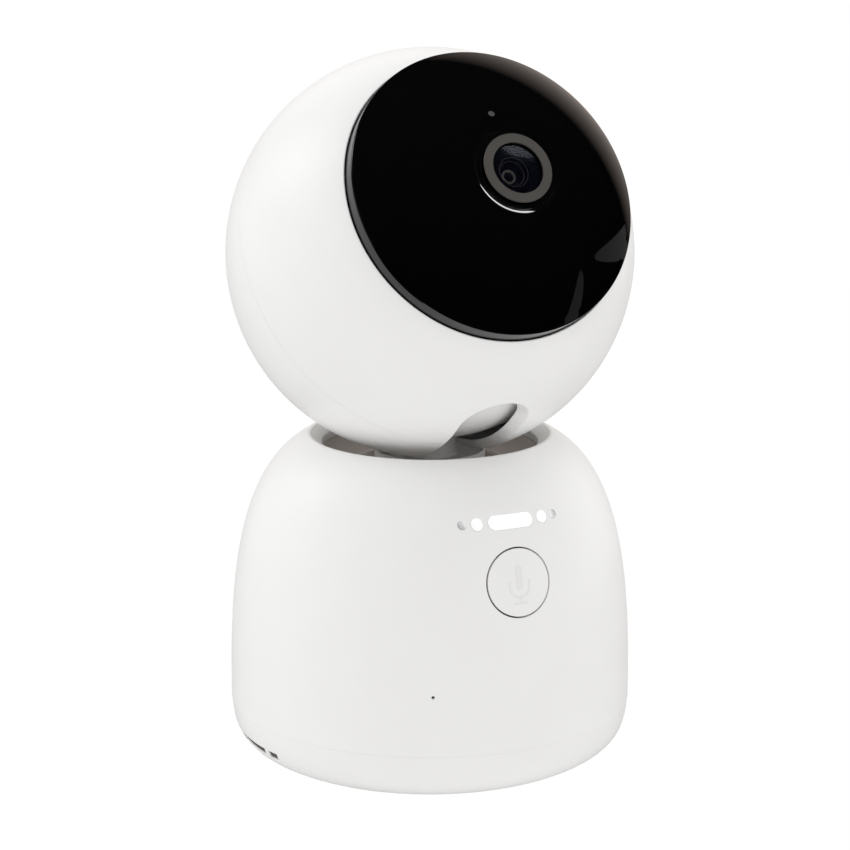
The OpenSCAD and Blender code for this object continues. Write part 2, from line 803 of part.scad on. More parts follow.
module lens_ring() {
    color(grey) lens_frame() translate([0, 0, 39.4]) difference() {
        cylinder(r = lens_r, h = lens_front - 39.4);
        translate([0, 0, 0.6]) cylinder(r = glass_r + 0.05, h = 5);
        translate([0, 0, -1]) cylinder(r = 4.3, h = 5);
        translate([0, 0, lens_front - 39.4 - 0.15]) cylinder(r1 = glass_r, r2 = glass_r + 0.4, h = 0.3);
    }
}

module lens_barrel() {
    color(black) lens_frame() translate([0, 0, 27.2]) difference() {
        cylinder(r = barrel_r, h = 12.15);
        translate([0, 0, -1]) cylinder(r = 4.2, h = 5.4);
        translate([0, 0, 4.3]) cylinder(r = 3, h = 3);
        translate([0, 0, 6.6]) cylinder(r = 4.2, h = 6);
    }
}

// A lens element: two spherical faces inside a cylinder, standing on Z = 0
module lens_element(r, h, face_r) {
    intersection() {
        cylinder(r = r, h = h);
        translate([0, 0, h - face_r]) sphere(r = face_r, $fn = 360);
        translate([0, 0, face_r]) sphere(r = face_r, $fn = 360);
    }
}

module lens_front_glass() {
    color(amber_glass) lens_frame() translate([0, 0, 40.05]) lens_element(glass_r, 1.45, 26);
}

module lens_inner_glass() {
    color(amber_glass) lens_frame() {
        translate([0, 0, 35]) lens_element(4.1, 2.6, 9);
        translate([0, 0, 28.4]) lens_element(4.1, 2.4, 10);
    }
}

module lens_holder() {
    color(black) lens_frame() translate([0, 0, board_off + board_t]) difference() {
        union() {
            slab(15, 15, 4.8);
            cylinder(r = 8.6, h = 8);
        }
        translate([0, 0, -1]) slab(11.6, 11.6, 3.6);
        translate([0, 0, 1]) cylinder(r = barrel_r + 0.04, h = 10);
    }
}

module lens_seal() color(black) lens_frame() translate([0, 0, 32.5]) tube(9, 7.1, 6.4);

module ir_filter() color(amber_glass) lens_frame() translate([0, 0, 26.3]) slab(8, 8, 0.5);

module image_sensor() color(black) lens_frame() translate([0, 0, board_off + board_t]) slab(8.6, 7.6, 1.1);

module camera_board() {
    color(board_green) lens_frame() translate([0, 0, board_off]) slab(28, 26, board_t);
    color(black) lens_frame() corners(10.6, 8) translate([0, 0, board_off + board_t]) slab(4, 3, 0.9);
}

module camera_bracket() {
    color(nylon) lens_frame() difference() {
        union() {
            translate([0, 0, bracket_off]) difference() {
                slab(32, 26, board_off - bracket_off - 0.02);
                translate([0, 0, -1]) slab(22, 18, 5);
            }
            // ears held between the posts of one shell and the lugs of the other
            for (side = [-1, 1]) translate([side * 20, 0, ear_off]) slab(13, 24, lug_off - ear_off - 0.05);
            for (i = [-1, 1], j = [-1, 1]) translate([i * 15.1, j * 7.6, bracket_off]) {
                slab(1.8, 2.4, led_off - bracket_off - 0.02);
            }
        }
        corners(post_x, post_y) translate([0, 0, 20]) cylinder(r = 1.2, h = 5);
    }
}

module led_board() color(board_green) lens_frame() translate([0, 0, led_off]) tube(18, 9.4, 1);

module ir_leds() {
    color(amber_glass) lens_frame() for (a = led_angles) {
        rotate([0, 0, a]) translate([14.2, 0, led_off + 1]) {
            cylinder(r = 1.5, h = 1.5);
            intersection() {
                cylinder(r = 1.5, h = 4);
                translate([0, 0, 1.4]) sphere(r = 1.5);
            }
        }
    }
}

module light_sensor() {
    color(black) lens_frame() translate([-2, 11, led_off + 1]) slab(2, 2, 0.8);
    color(amber_glass) lens_frame() translate([-2, 11, led_off + 1.7]) cylinder(r = 0.8, h = 6.6);
}

base_housing();
bottom_cover();
top_dish();
front_badge();
rubber_feet();
base_screws();
main_board();
board_screws();
processor();
wifi_shield();
board_chips();
usb_socket();
antennas();
speaker_frame();
speaker_cone();
speaker_magnet();
speaker_seal();
microphone();
mic_seal();
talk_button();
switch_plunger();
switch_body();
button_board();
motor_frame();
frame_screws();
neck_bush();
pan_motor();
pan_motor_screws();
pan_motor_shaft();
pan_pinion();
neck();
pan_gear();
gear_screws();
retaining_ring();
neck_cable();
slot_cover();
tilt_yoke();
yoke_nut();
axle_pins();
tilt_motor();
tilt_motor_shaft();
tilt_pinion();
tilt_gear();
head_front_shell();
head_rear_shell();
head_screws();
front_dome();
lens_ring();
lens_barrel();
lens_front_glass();
lens_inner_glass();
lens_holder();
lens_seal();
ir_filter();
image_sensor();
camera_board();
camera_bracket();
led_board();
ir_leds();
light_sensor();
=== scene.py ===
"""Looks for a pan and tilt baby monitor camera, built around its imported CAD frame.

Shapes are worked out in millimetres and scaled to metres when a mesh is made.
"""

import json
from math import acos, asin, atan2, ceil, cos, degrees, hypot, pi, radians, sin, sqrt, tan

import bpy
from mathutils import Matrix, Vector
from mathutils.geometry import delaunay_2d_cdt
from mathutils.kdtree import KDTree


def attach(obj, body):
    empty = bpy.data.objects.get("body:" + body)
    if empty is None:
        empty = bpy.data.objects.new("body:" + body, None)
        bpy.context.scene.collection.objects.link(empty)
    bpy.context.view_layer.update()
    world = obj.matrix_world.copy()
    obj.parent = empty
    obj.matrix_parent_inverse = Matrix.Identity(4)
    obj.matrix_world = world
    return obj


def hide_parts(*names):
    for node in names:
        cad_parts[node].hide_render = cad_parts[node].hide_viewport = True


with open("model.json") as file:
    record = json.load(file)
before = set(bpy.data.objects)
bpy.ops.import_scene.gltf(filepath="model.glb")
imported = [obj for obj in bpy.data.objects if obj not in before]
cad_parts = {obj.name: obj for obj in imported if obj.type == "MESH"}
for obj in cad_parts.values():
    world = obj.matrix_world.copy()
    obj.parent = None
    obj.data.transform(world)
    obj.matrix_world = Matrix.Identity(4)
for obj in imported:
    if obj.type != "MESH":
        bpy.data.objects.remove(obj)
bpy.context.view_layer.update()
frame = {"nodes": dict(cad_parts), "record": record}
for packed in bpy.data.materials:
    packed.name = "packed_" + packed.name

MM = 0.001

# Base
BASE_R, BASE_WALL = 40.25, 2.2
SEAM_Z = 11.2
SEAM_GAP = 0.02
FLOOR_Z = 0.6
LOWER_CURVE = [(30.6, 0.0), (38.36, 2.98), (40.25, 3.93), (40.25, 14.0)]
UPPER_CURVE = [(40.25, 14.0), (40.25, 38.2), (37.6, 58.7), (24.4, 65.0)]
BUTTON_Z, BUTTON_R, BUTTON_GAP = 43.7, 6.35, 0.4
BADGE_Z, SOCKET_Z = 54.7, 18.3
MIC_Z, MIC_R, MIC_ANGLE = 23, 0.32, -25.6
SCREW_RING, FOOT_RING = 31.5, 24

# Head
BALL_R, BALL_Z, BALL_WALL = 40.0, 100.9, 2.2
HEAD_SEAM = 2.0
REST_TILT = 30
SLOT_HALF = 5.8
FLARE, FLARE_DEPTH = 1.6, 1.9
SLOT_FRONT, SLOT_REAR = 69.0, 181.0
DOME_R, DOME_EDGE_R, DOME_GAP = 41.9, 28.4, 0.12
COVER_R, COVER_T, COVER_HALF = 36.4, 1.0, 9.0
COVER_FROM, COVER_TO = 33, 191
LENS_TOP, RECESS_R = 41.6, 8.75

# Frames about the ball's centre: lens (+Z out along the lens, +Y up) and yoke, where the lens would be level
LENS = Matrix.Translation((0, 0, BALL_Z)) @ Matrix.Rotation(radians(90 - REST_TILT), 4, "X")
YOKE = Matrix.Translation((0, 0, BALL_Z)) @ Matrix.Rotation(radians(90), 4, "X")


# ---- curves ----


def bezier(p, t):
    w = ((1 - t) ** 3, 3 * (1 - t) ** 2 * t, 3 * (1 - t) * t * t, t ** 3)
    return tuple(sum(w[i] * p[i][k] for i in range(4)) for k in (0, 1))


def curve_points(p, first, last, steps):
    return [bezier(p, first + (last - first) * i / steps) for i in range(steps + 1)]


def param_at_height(p, z):
    low, high = 0.0, 1.0
    for _ in range(40):
        middle = (low + high) / 2
        low, high = (middle, high) if bezier(p, middle)[1] < z else (low, middle)
    return low


def rounded(corners, closed=True, step=12):
    """A profile from corners (x, y) or (x, y, radius), with an arc at each one that has a radius."""
    points = []
    count = len(corners)
    for i, corner in enumerate(corners):
        x, y = corner[0], corner[1]
        radius = corner[2] if len(corner) > 2 else 0
        if radius <= 0 or (not closed and i in (0, count - 1)):
            points.append((x, y))
            continue
        here = Vector((x, y))
        back = (Vector(corners[i - 1][:2]) - here).normalized()
        ahead = (Vector(corners[(i + 1) % count][:2]) - here).normalized()
        half = acos(max(-1, min(1, back.dot(ahead)))) / 2
        centre = here + (back + ahead).normalized() * radius / sin(half)
        start = here + back * radius / tan(half) - centre
        end = here + ahead * radius / tan(half) - centre
        turn = pi - 2 * half
        steps = max(2, ceil(degrees(turn) / step))
        for k in range(steps + 1):
            f = k / steps
            arm = start * (sin((1 - f) * turn) / sin(turn)) + end * (sin(f * turn) / sin(turn))
            points.append(tuple(centre + arm))
    return points


def circle(radius, spacing):
    count = max(24, ceil(2 * pi * radius / spacing))
    return [(radius * cos(2 * pi * i / count), radius * sin(2 * pi * i / count)) for i in range(count)]


def pill(width, height, spacing=0.25):
    """Outline of a stadium, anticlockwise."""
    radius, straight = height / 2, width - height
    arc = max(8, ceil(pi * radius / spacing))
    run = max(2, ceil(straight / spacing / 2))
    half = [
        (straight / 2 + radius * cos(a), radius * sin(a))
        for a in [-pi / 2 + pi * i / arc for i in range(arc + 1)]
    ]
    half += [(straight / 2 - straight * i / run, radius) for i in range(1, run)]
    return half + [(-x, -y) for x, y in half]


def profile_normals(points, closed=False, smooth=35):
    """A pair of normals for each segment, to the right of its direction. A slight bend is shared."""
    count = len(points) if closed else len(points) - 1
    flat = []
    for i in range(count):
        (ax, ay), (bx, by) = points[i], points[(i + 1) % len(points)]
        length = hypot(bx - ax, by - ay)
        flat.append(((by - ay) / length, -(bx - ax) / length, length))

    def shared(i, j):
        (ax, ay, al), (bx, by, bl) = flat[i], flat[j]
        if ax * bx + ay * by < cos(radians(smooth)):
            return None
        x, y = ax * al + bx * bl, ay * al + by * bl
        return (x / hypot(x, y), y / hypot(x, y))

    pairs = []
    for i in range(count):
        before = shared(i - 1, i) if closed or i > 0 else None
        after = shared(i, (i + 1) % count) if closed or i < count - 1 else None
        pairs.append((before or flat[i][:2], after or flat[i][:2]))
    return pairs


# ---- meshes ----


class Solid:
    """A closed mesh in the making, with its own normal at each corner of each face."""

    def __init__(self):
        self.points, self.faces, self.normals = [], [], []

    def point(self, p):
        self.points.append(Vector(p))
        return len(self.points) - 1

    def face(self, corners, normals):
        kept = [k for k in range(len(corners)) if corners[k] != corners[k - 1]]
        if len(kept) < 3:
            return
        corners, normals = [corners[k] for k in kept], [normals[k] for k in kept]
        a, b, c = (self.points[corners[k]] for k in (0, 1, 2))
        across = (b - a).cross(c - a)
        if len(kept) == 4:
            across += (c - a).cross(self.points[corners[3]] - a)
        if across.dot(sum(normals, Vector((0, 0, 0)))) < 0:
            corners.reverse()
            normals.reverse()
        self.faces.append(corners)
        self.normals.append(normals)

    def merge(self, other):
        shift = len(self.points)
        self.points += other.points
        self.faces += [[i + shift for i in f] for f in other.faces]
        self.normals += other.normals
        return self

    def moved(self, matrix):
        turn = matrix.to_3x3()
        self.points = [matrix @ p for p in self.points]
        self.normals = [[turn @ n for n in face] for face in self.normals]
        return self

    def make(self, name, finish, body, *nodes):
        mesh = bpy.data.meshes.new(name)
        mesh.from_pydata([p * MM for p in self.points], [], self.faces)
        mesh.polygons.foreach_set("use_smooth", [True] * len(self.faces))
        mesh.normals_split_custom_set([n.normalized() for face in self.normals for n in face])
        mesh.materials.append(finish)
        made = bpy.data.objects.new(name, mesh)
        bpy.context.scene.collection.objects.link(made)
        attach(made, body)
        if nodes:
            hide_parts(*nodes)
        return made


# The end of a rim profile that runs straight from a shell's outer point to its inner one
STRAIGHT = (1, 0)


def strip(solid, columns, axes, profile, closed_profile=False):
    """Faces between neighbours in a ring of columns. Each column follows the profile in its own axes."""
    pairs = profile_normals(profile, closed_profile)
    for i in range(len(columns)):
        j = (i + 1) % len(columns)
        for k, ends in enumerate(pairs):
            m = (k + 1) % len(profile)
            corners = [columns[i][k], columns[j][k], columns[j][m], columns[i][m]]
            turned = [
                axes[column][0] * ends[end][0] + axes[column][1] * ends[end][1]
                for column, end in ((i, 0), (j, 0), (j, 1), (i, 1))
            ]
            solid.face(corners, turned)


def revolve(profile, segments=180):
    """A closed profile of (radius, z), anticlockwise, turned about Z."""
    solid = Solid()
    on_axis = {k: solid.point((0, 0, z)) for k, (r, z) in enumerate(profile) if r < 1e-6}
    columns, axes = [], []
    for i in range(segments):
        a = 2 * pi * i / segments
        axes.append((Vector((cos(a), sin(a), 0)), Vector((0, 0, 1))))
        columns.append([
            on_axis[k] if k in on_axis else solid.point((r * cos(a), r * sin(a), z))
            for k, (r, z) in enumerate(profile)
        ])
    pairs_closed = not (len(on_axis) == 2 and profile[0][0] < 1e-6 and profile[-1][0] < 1e-6)
    strip(solid, columns, axes, profile, pairs_closed)
    return solid


def sweep_ring(outline, profile, closed=False):
    """A profile of (distance outwards, z) carried round an anticlockwise outline. An open one is capped."""
    solid = Solid()
    count = len(outline)
    columns, axes = [], []
    for i in range(count):
        ahead = Vector(outline[(i + 1) % count]) - Vector(outline[i - 1])
        out = Vector((ahead.y, -ahead.x)).normalized()
        x, y = outline[i]
        columns.append([solid.point((x + out.x * d, y + out.y * d, z)) for d, z in profile])
        axes.append((Vector((out.x, out.y, 0)), Vector((0, 0, 1))))
    strip(solid, columns, axes, profile, closed)
    if not closed:
        for k, up in ((0, -1), (len(profile) - 1, 1)):
            cap = [c[k] for c in columns][::up]
            solid.face(cap, [Vector((0, 0, up))] * count)
    return solid


def fill(loops, spacing, guides=()):
    """Points and triangles inside the first loop and outside the others. The loops' own points come first."""
    points = [Vector(p) for loop in loops for p in loop]
    edges, start = [], 0
    for loop in loops:
        edges += [(start + i, start + (i + 1) % len(loop)) for i in range(len(loop))]
        start += len(loop)

    buckets = {}
    for a, b in edges:
        low, high = sorted((points[a].y, points[b].y))
        for row in range(int(low // spacing), int(high // spacing) + 1):
            buckets.setdefault(row, []).append((a, b))

    def inside(x, y):
        odd = False
        for a, b in buckets.get(int(y // spacing), []):
            if (points[a].y > y) != (points[b].y > y):
                if x < points[a].x + (y - points[a].y) * (points[b].x - points[a].x) / (points[b].y - points[a].y):
                    odd = not odd
        return odd

    xs, ys = [p.x for p in points], [p.y for p in points]
    for x, y in guides:
        if inside(x, y):
            points.append(Vector((x, y)))
    tree = KDTree(len(points))
    for i, p in enumerate(points):
        tree.insert((p.x, p.y, 0), i)
    tree.balance()
    row_step = spacing * sqrt(3) / 2
    for row in range(int(min(ys) / row_step) - 1, int(max(ys) / row_step) + 2):
        y = row * row_step + 1e-4
        for column in range(int(min(xs) / spacing) - 1, int(max(xs) / spacing) + 2):
            x = (column + (row % 2) / 2) * spacing + 1e-4
            if inside(x, y) and tree.find((x, y, 0))[2] > spacing * 0.6:
                points.append(Vector((x, y)))
    found = delaunay_2d_cdt(points, edges, [], 0, 1e-7, True)
    origin = [ids[0] for ids in found[3]]
    triangles = []
    for face in found[2]:
        a, b, c = (origin[i] for i in face)
        middle = (points[a] + points[b] + points[c]) / 3
        if inside(middle.x, middle.y):
            triangles.append((a, b, c))
    return points, triangles


def shell(loops, spacing, place, wall, rims, guides=()):
    """A closed wall over a flat region. place(x, y, depth) gives a point and its outward normal.

    There is one rim for each loop. An edge rim is ("edge", profile): (distance past the loop, depth),
    from (0, 0) to (0, wall); a list of profiles gives each point of the loop its own. An axis rim is
    ("axis", profile), with (radius, z) about Z between the loop's outer and inner points.
    """
    solid = Solid()
    flat, triangles = fill(loops, spacing, guides)
    outer, inner, up = [], [], []
    for p in flat:
        spot, normal = place(p.x, p.y, 0)
        outer.append(solid.point(spot))
        inner.append(solid.point(place(p.x, p.y, wall)[0]))
        up.append(Vector(normal).normalized())
    for t in triangles:
        solid.face([outer[i] for i in t], [up[i] for i in t])
        solid.face([inner[i] for i in t], [-up[i] for i in t])
    start = 0
    for loop, (kind, profile) in zip(loops, rims):
        count = len(loop)
        ids = range(start, start + count)
        start += count
        columns, axes, shapes = [], [], []
        turning = sum(
            loop[i][0] * loop[(i + 1) % count][1] - loop[i][1] * loop[(i + 1) % count][0] for i in range(count)
        )
        into = 1 if (turning > 0) == (start == len(loops[0])) else -1
        for i in range(count):
            here = solid.points[outer[ids[i]]]
            if kind == "axis":
                out = Vector((here.x, here.y, 0)).normalized()
                axes.append((out, Vector((0, 0, 1))))
                middle = [solid.point(out * r + Vector((0, 0, z))) for r, z in profile[1:-1]]
                shapes.append(profile)
            else:
                shape = profile[i] if isinstance(profile[0], list) else profile
                drop = solid.points[inner[ids[i]]] - here
                along = solid.points[outer[ids[(i + 1) % count]]] - solid.points[outer[ids[i - 1]]]
                flat_along = Vector(loop[(i + 1) % count]) - Vector(loop[i - 1])
                left = Vector((-flat_along.y, flat_along.x)).normalized() * 0.05 * into
                material_side = Vector(place(loop[i][0] + left.x, loop[i][1] + left.y, 0)[0]) - here
                normal = up[ids[i]]
                past = along.cross(normal).normalized()
                if past.dot(material_side) > 0:
                    past.negate()
                axes.append((past, -normal))
                if shape[-1] == STRAIGHT:
                    middle = [solid.point(here + drop * b) for b, d in shape[1:-1]]
                else:
                    middle = [solid.point(here + past * b - normal * d) for b, d in shape[1:-1]]
                shapes.append(shape)
            columns.append([outer[ids[i]]] + middle + [inner[ids[i]]])
        if kind == "edge" and isinstance(profile[0], list):
            strip_shapes(solid, columns, axes, shapes)
        else:
            strip(solid, columns, axes, profile)
    return solid


def strip_shapes(solid, columns, axes, shapes):
    """A closed strip whose profile changes from column to column."""
    pairs = [profile_normals(shape) for shape in shapes]
    for i in range(len(columns)):
        j = (i + 1) % len(columns)
        for k in range(len(columns[i]) - 1):
            corners = [columns[i][k], columns[j][k], columns[j][k + 1], columns[i][k + 1]]
            turned = [
                axes[column][0] * pairs[column][k][end][0] + axes[column][1] * pairs[column][k][end][1]
                for column, end in ((i, 0), (j, 0), (j, 1), (i, 1))
            ]
            solid.face(corners, turned)


def edge(radius, wall, step=18):
    """Rim profile: a rounded lip and a straight wall."""
    arc = [
        (radius * sin(radians(a)), radius * (1 - cos(radians(a))))
        for a in [90 * i / ceil(90 / step) for i in range(ceil(90 / step) + 1)]
    ]
    return arc + [(radius, wall), (0, wall)]


# ---- materials ----


def material(name, colour, roughness, metallic=0.0, slot=None, **extra):
    """A principled material. extra sets other sockets by name, with underscores for spaces."""
    made = bpy.data.materials.new(name)
    made["slot"] = slot or name
    made.use_nodes = True
    shader = made.node_tree.nodes["Principled BSDF"]
    shader.inputs["Base Color"].default_value = (*colour, 1)
    shader.inputs["Roughness"].default_value = roughness
    shader.inputs["Metallic"].default_value = metallic
    for key, value in extra.items():
        shader.inputs[key.replace("_", " ")].default_value = value
    return made


def add_node(made, kind, **values):
    node = made.node_tree.nodes.new(kind)
    for key, value in values.items():
        if key in node.inputs:
            node.inputs[key].default_value = value
        else:
            setattr(node, key, value)
    return node


def object_coordinates(made):
    return add_node(made, "ShaderNodeTexCoord").outputs["Object"]


def grain(made, scale, strength, distance=0.00002, detail=3.0, roughness=(0, 0), tint=None, stretch=None):
    """Moulded or machined grain: bump, and slow changes of roughness and colour."""
    tree = made.node_tree
    shader = tree.nodes["Principled BSDF"]
    where = object_coordinates(made)
    if stretch:
        squeeze = add_node(made, "ShaderNodeMapping")
        squeeze.inputs["Scale"].default_value = stretch
        tree.links.new(where, squeeze.inputs["Vector"])
        where = squeeze.outputs["Vector"]
    fine = add_node(made, "ShaderNodeTexNoise", Scale=scale, Detail=detail)
    tree.links.new(where, fine.inputs["Vector"])
    bump = add_node(made, "ShaderNodeBump", Strength=strength, Distance=distance)
    tree.links.new(fine.outputs["Fac"], bump.inputs["Height"])
    tree.links.new(bump.outputs["Normal"], shader.inputs["Normal"])
    if roughness[1] > roughness[0] or tint:
        slow = add_node(made, "ShaderNodeTexNoise", Scale=scale / 40, Detail=4.0)
        tree.links.new(where, slow.inputs["Vector"])
    if roughness[1] > roughness[0]:
        spread = add_node(made, "ShaderNodeMapRange")
        spread.inputs["To Min"].default_value = roughness[0]
        spread.inputs["To Max"].default_value = roughness[1]
        tree.links.new(slow.outputs["Fac"], spread.inputs["Value"])
        tree.links.new(spread.outputs["Result"], shader.inputs["Roughness"])
    if tint:
        mix = add_node(made, "ShaderNodeMix", data_type="RGBA")
        mix.inputs["A"].default_value = (*tint[0], 1)
        mix.inputs["B"].default_value = (*tint[1], 1)
        tree.links.new(slow.outputs["Fac"], mix.inputs["Factor"])
        tree.links.new(mix.outputs["Result"], shader.inputs["Base Color"])
    return made


WHITE = (0.81, 0.805, 0.796)
white = grain(
    material("white_plastic", WHITE, 0.42, Specular_IOR_Level=0.45),
    5200, 0.22, roughness=(0.38, 0.47), tint=((0.8, 0.794, 0.784), (0.82, 0.816, 0.808)),
)
sign_white = grain(
    material("sign_white", (0.76, 0.755, 0.745), 0.5, slot="white_plastic"),
    5200, 0.2, roughness=(0.46, 0.54), tint=((0.75, 0.745, 0.735), (0.77, 0.765, 0.755)),
)
# Grey for the dish under the ball: partly the dish's own grey plastic, partly painted shade, darkened and browned
# towards the tone the dish takes in the shade under the ball
grey_and_painted_shade = grain(
    material("grey_plastic", (0.57, 0.52, 0.48), 0.5),
    4200, 0.3, roughness=(0.44, 0.56), tint=((0.56, 0.51, 0.47), (0.58, 0.53, 0.49)),
)
gloss_black = grain(
    material("gloss_black", (0.002, 0.002, 0.0022), 0.03, IOR=1.6),
    300, 0.02, distance=0.00001, roughness=(0.025, 0.04),
)
ring_grey = grain(
    material("lens_ring_grey", (0.12, 0.112, 0.103), 0.42, metallic=0.35),
    9000, 0.3, roughness=(0.36, 0.48), tint=((0.11, 0.103, 0.095), (0.13, 0.121, 0.112)),
)
black = grain(
    material("black_plastic", (0.012, 0.012, 0.013), 0.5),
    4200, 0.3, roughness=(0.42, 0.58), tint=((0.01, 0.01, 0.011), (0.016, 0.016, 0.017)),
)
foil = grain(
    material("silver_foil", (0.93, 0.935, 0.94), 0.16, metallic=0.7),
    2600, 0.25, roughness=(0.12, 0.24), tint=((0.9, 0.91, 0.915), (0.95, 0.955, 0.96)),
)
rubber = grain(
    material("rubber", (0.055, 0.055, 0.056), 0.8),
    3000, 0.5, roughness=(0.72, 0.88), tint=((0.05, 0.05, 0.05), (0.065, 0.065, 0.066)),
)
nylon = grain(
    material("nylon", (0.74, 0.72, 0.63), 0.45),
    3400, 0.3, roughness=(0.4, 0.52), tint=((0.72, 0.7, 0.61), (0.77, 0.75, 0.67)),
)
steel = grain(
    material("steel", (0.6, 0.61, 0.62), 0.28, metallic=1.0),
    3800, 0.25, roughness=(0.22, 0.38), tint=((0.56, 0.57, 0.58), (0.66, 0.67, 0.68)), stretch=(1, 1, 6),
)
brass = grain(
    material("brass", (0.66, 0.48, 0.2), 0.3, metallic=1.0),
    3800, 0.25, roughness=(0.24, 0.4), tint=((0.6, 0.43, 0.17), (0.72, 0.53, 0.24)), stretch=(1, 1, 6),
)
board = grain(
    material("circuit_board", (0.01, 0.075, 0.035), 0.35, Coat_Weight=0.4),
    1800, 0.4, distance=0.00004, roughness=(0.28, 0.42), tint=((0.008, 0.06, 0.028), (0.02, 0.12, 0.05)),
)
paper = grain(
    material("speaker_paper", (0.03, 0.03, 0.03), 0.85),
    2600, 0.8, distance=0.00005, roughness=(0.78, 0.92), tint=((0.022, 0.022, 0.022), (0.045, 0.044, 0.042)),
)
vent_grey = grain(
    material("vent_grey", (0.1, 0.088, 0.084), 0.8, slot="black_plastic"),
    9000, 0.6, distance=0.00005, roughness=(0.7, 0.9), tint=((0.085, 0.075, 0.072), (0.115, 0.1, 0.096)),
)
jacket = grain(
    material("cable_jacket", (0.02, 0.02, 0.021), 0.55),
    2600, 0.4, roughness=(0.48, 0.64), tint=((0.016, 0.016, 0.017), (0.028, 0.028, 0.029)),
)
lens_glass = grain(
    material("lens_glass", (0.72, 0.7, 0.86), 0.0, Transmission_Weight=1.0, IOR=1.5, Coat_Weight=0.35),
    400, 0.01, distance=0.00001, roughness=(0.0, 0.015),
)
by_slot = {
    m.name: m
    for m in (white, grey_and_painted_shade, gloss_black, ring_grey, black, foil, rubber, nylon, steel, brass, board, paper, jacket,
              lens_glass)
}


# ---- base ----


def running_lengths(points):
    """Length along a profile from its start to each of its points."""
    lengths = [0.0]
    for (ax, ay), (bx, by) in zip(points, points[1:]):
        lengths.append(lengths[-1] + hypot(bx - ax, by - ay))
    return lengths


class Skin:
    """A surface turned about Z, laid flat: distance from the middle is start + length along the profile.

    side is 1 where the profile runs downwards, and -1 where it runs upwards. soften smooths the inner face.
    """

    def __init__(self, profile, start, soften=0.0, side=1):
        self.profile, self.start = profile, start
        self.lengths = running_lengths(profile)
        self.reach = self.lengths[-1]
        self.soften, self.side = soften, side

    def at(self, length):
        length = max(0.0, min(self.reach, length))
        low, high = 0, len(self.lengths) - 1
        while high - low > 1:
            middle = (low + high) // 2
            low, high = (middle, high) if self.lengths[middle] <= length else (low, middle)
        f = (length - self.lengths[low]) / (self.lengths[high] - self.lengths[low])
        (ar, az), (br, bz) = self.profile[low], self.profile[high]
        return ar + (br - ar) * f, az + (bz - az) * f

    def normal(self, length, window):
        (ar, az), (br, bz) = self.at(length - window), self.at(length + window)
        size = hypot(br - ar, bz - az)
        return (az - bz) / size * self.side, (br - ar) / size * self.side

    def place(self, x, y, depth):
        length, a = hypot(x, y) - self.start, atan2(y, x)
        r, z = self.at(length)
        nr, nz = self.normal(length, 0.2)
        ir, iz = self.normal(length, self.soften) if self.soften and depth > 0 else (nr, nz)
        r, z = r - ir * depth, z - iz * depth
        return (r * cos(a), r * sin(a), z), (nr * cos(a), nr * sin(a), nz)

    def flat(self, point):
        """Where a point of the surface lies when the skin is flat. The profile's height must not turn back."""
        x, y, z = point
        low, high = 0.0, self.reach
        rising = self.profile[-1][1] > self.profile[0][1]
        for _ in range(40):
            middle = (low + high) / 2
            below = self.at(middle)[1] < z
            low, high = (middle, high) if below == rising else (low, middle)
        a = atan2(y, x)
        return ((self.start + low) * cos(a), (self.start + low) * sin(a))

    def radius(self, z):
        x, y = self.flat((1, 0, z))
        return self.at(hypot(x, y) - self.start)[0]

    def cast(self, outline, matrix):
        """An outline in a frame whose +Z points outwards, dropped along that axis onto the surface."""
        found = []
        for x, y in outline:
            low, high = -12.0, 6.0
            for _ in range(40):
                middle = (low + high) / 2
                p = matrix @ Vector((x, y, middle))
                low, high = (middle, high) if hypot(p.x, p.y) < self.radius(p.z) else (low, middle)
            found.append(self.flat(matrix @ Vector((x, y, low))))
        return found


RIM_LOW = 0.965
EDGE_SEAM = 0.03
housing = Skin(list(reversed(curve_points(UPPER_CURVE, 0, RIM_LOW, 160))) + [(BASE_R, SEAM_Z + EDGE_SEAM)], 30.0)

button_t = param_at_height(UPPER_CURVE, BUTTON_Z)
button_r, button_z = bezier(UPPER_CURVE, button_t)
slope_a, slope_b = bezier(UPPER_CURVE, button_t - 0.001), bezier(UPPER_CURVE, button_t + 0.001)
button_rise = degrees(atan2(slope_a[0] - slope_b[0], slope_b[1] - slope_a[1]))
BUTTON = Matrix.Translation((0, -button_r, button_z)) @ Matrix.Rotation(radians(90 - button_rise), 4, "X")
MIC = (
    Matrix.Rotation(radians(MIC_ANGLE), 4, "Z") @ Matrix.Translation((0, -BASE_R, MIC_Z))
    @ Matrix.Rotation(radians(90), 4, "X")
)
SOCKET = Matrix.Translation((0, BASE_R, SOCKET_Z)) @ Matrix.Rotation(radians(-90), 4, "X")
BADGE = Matrix.Translation((0, -BASE_R, BADGE_Z)) @ Matrix.Rotation(radians(90), 4, "X")


def ring_at(skin, length, spacing=0.9):
    return circle(skin.start + length, spacing)


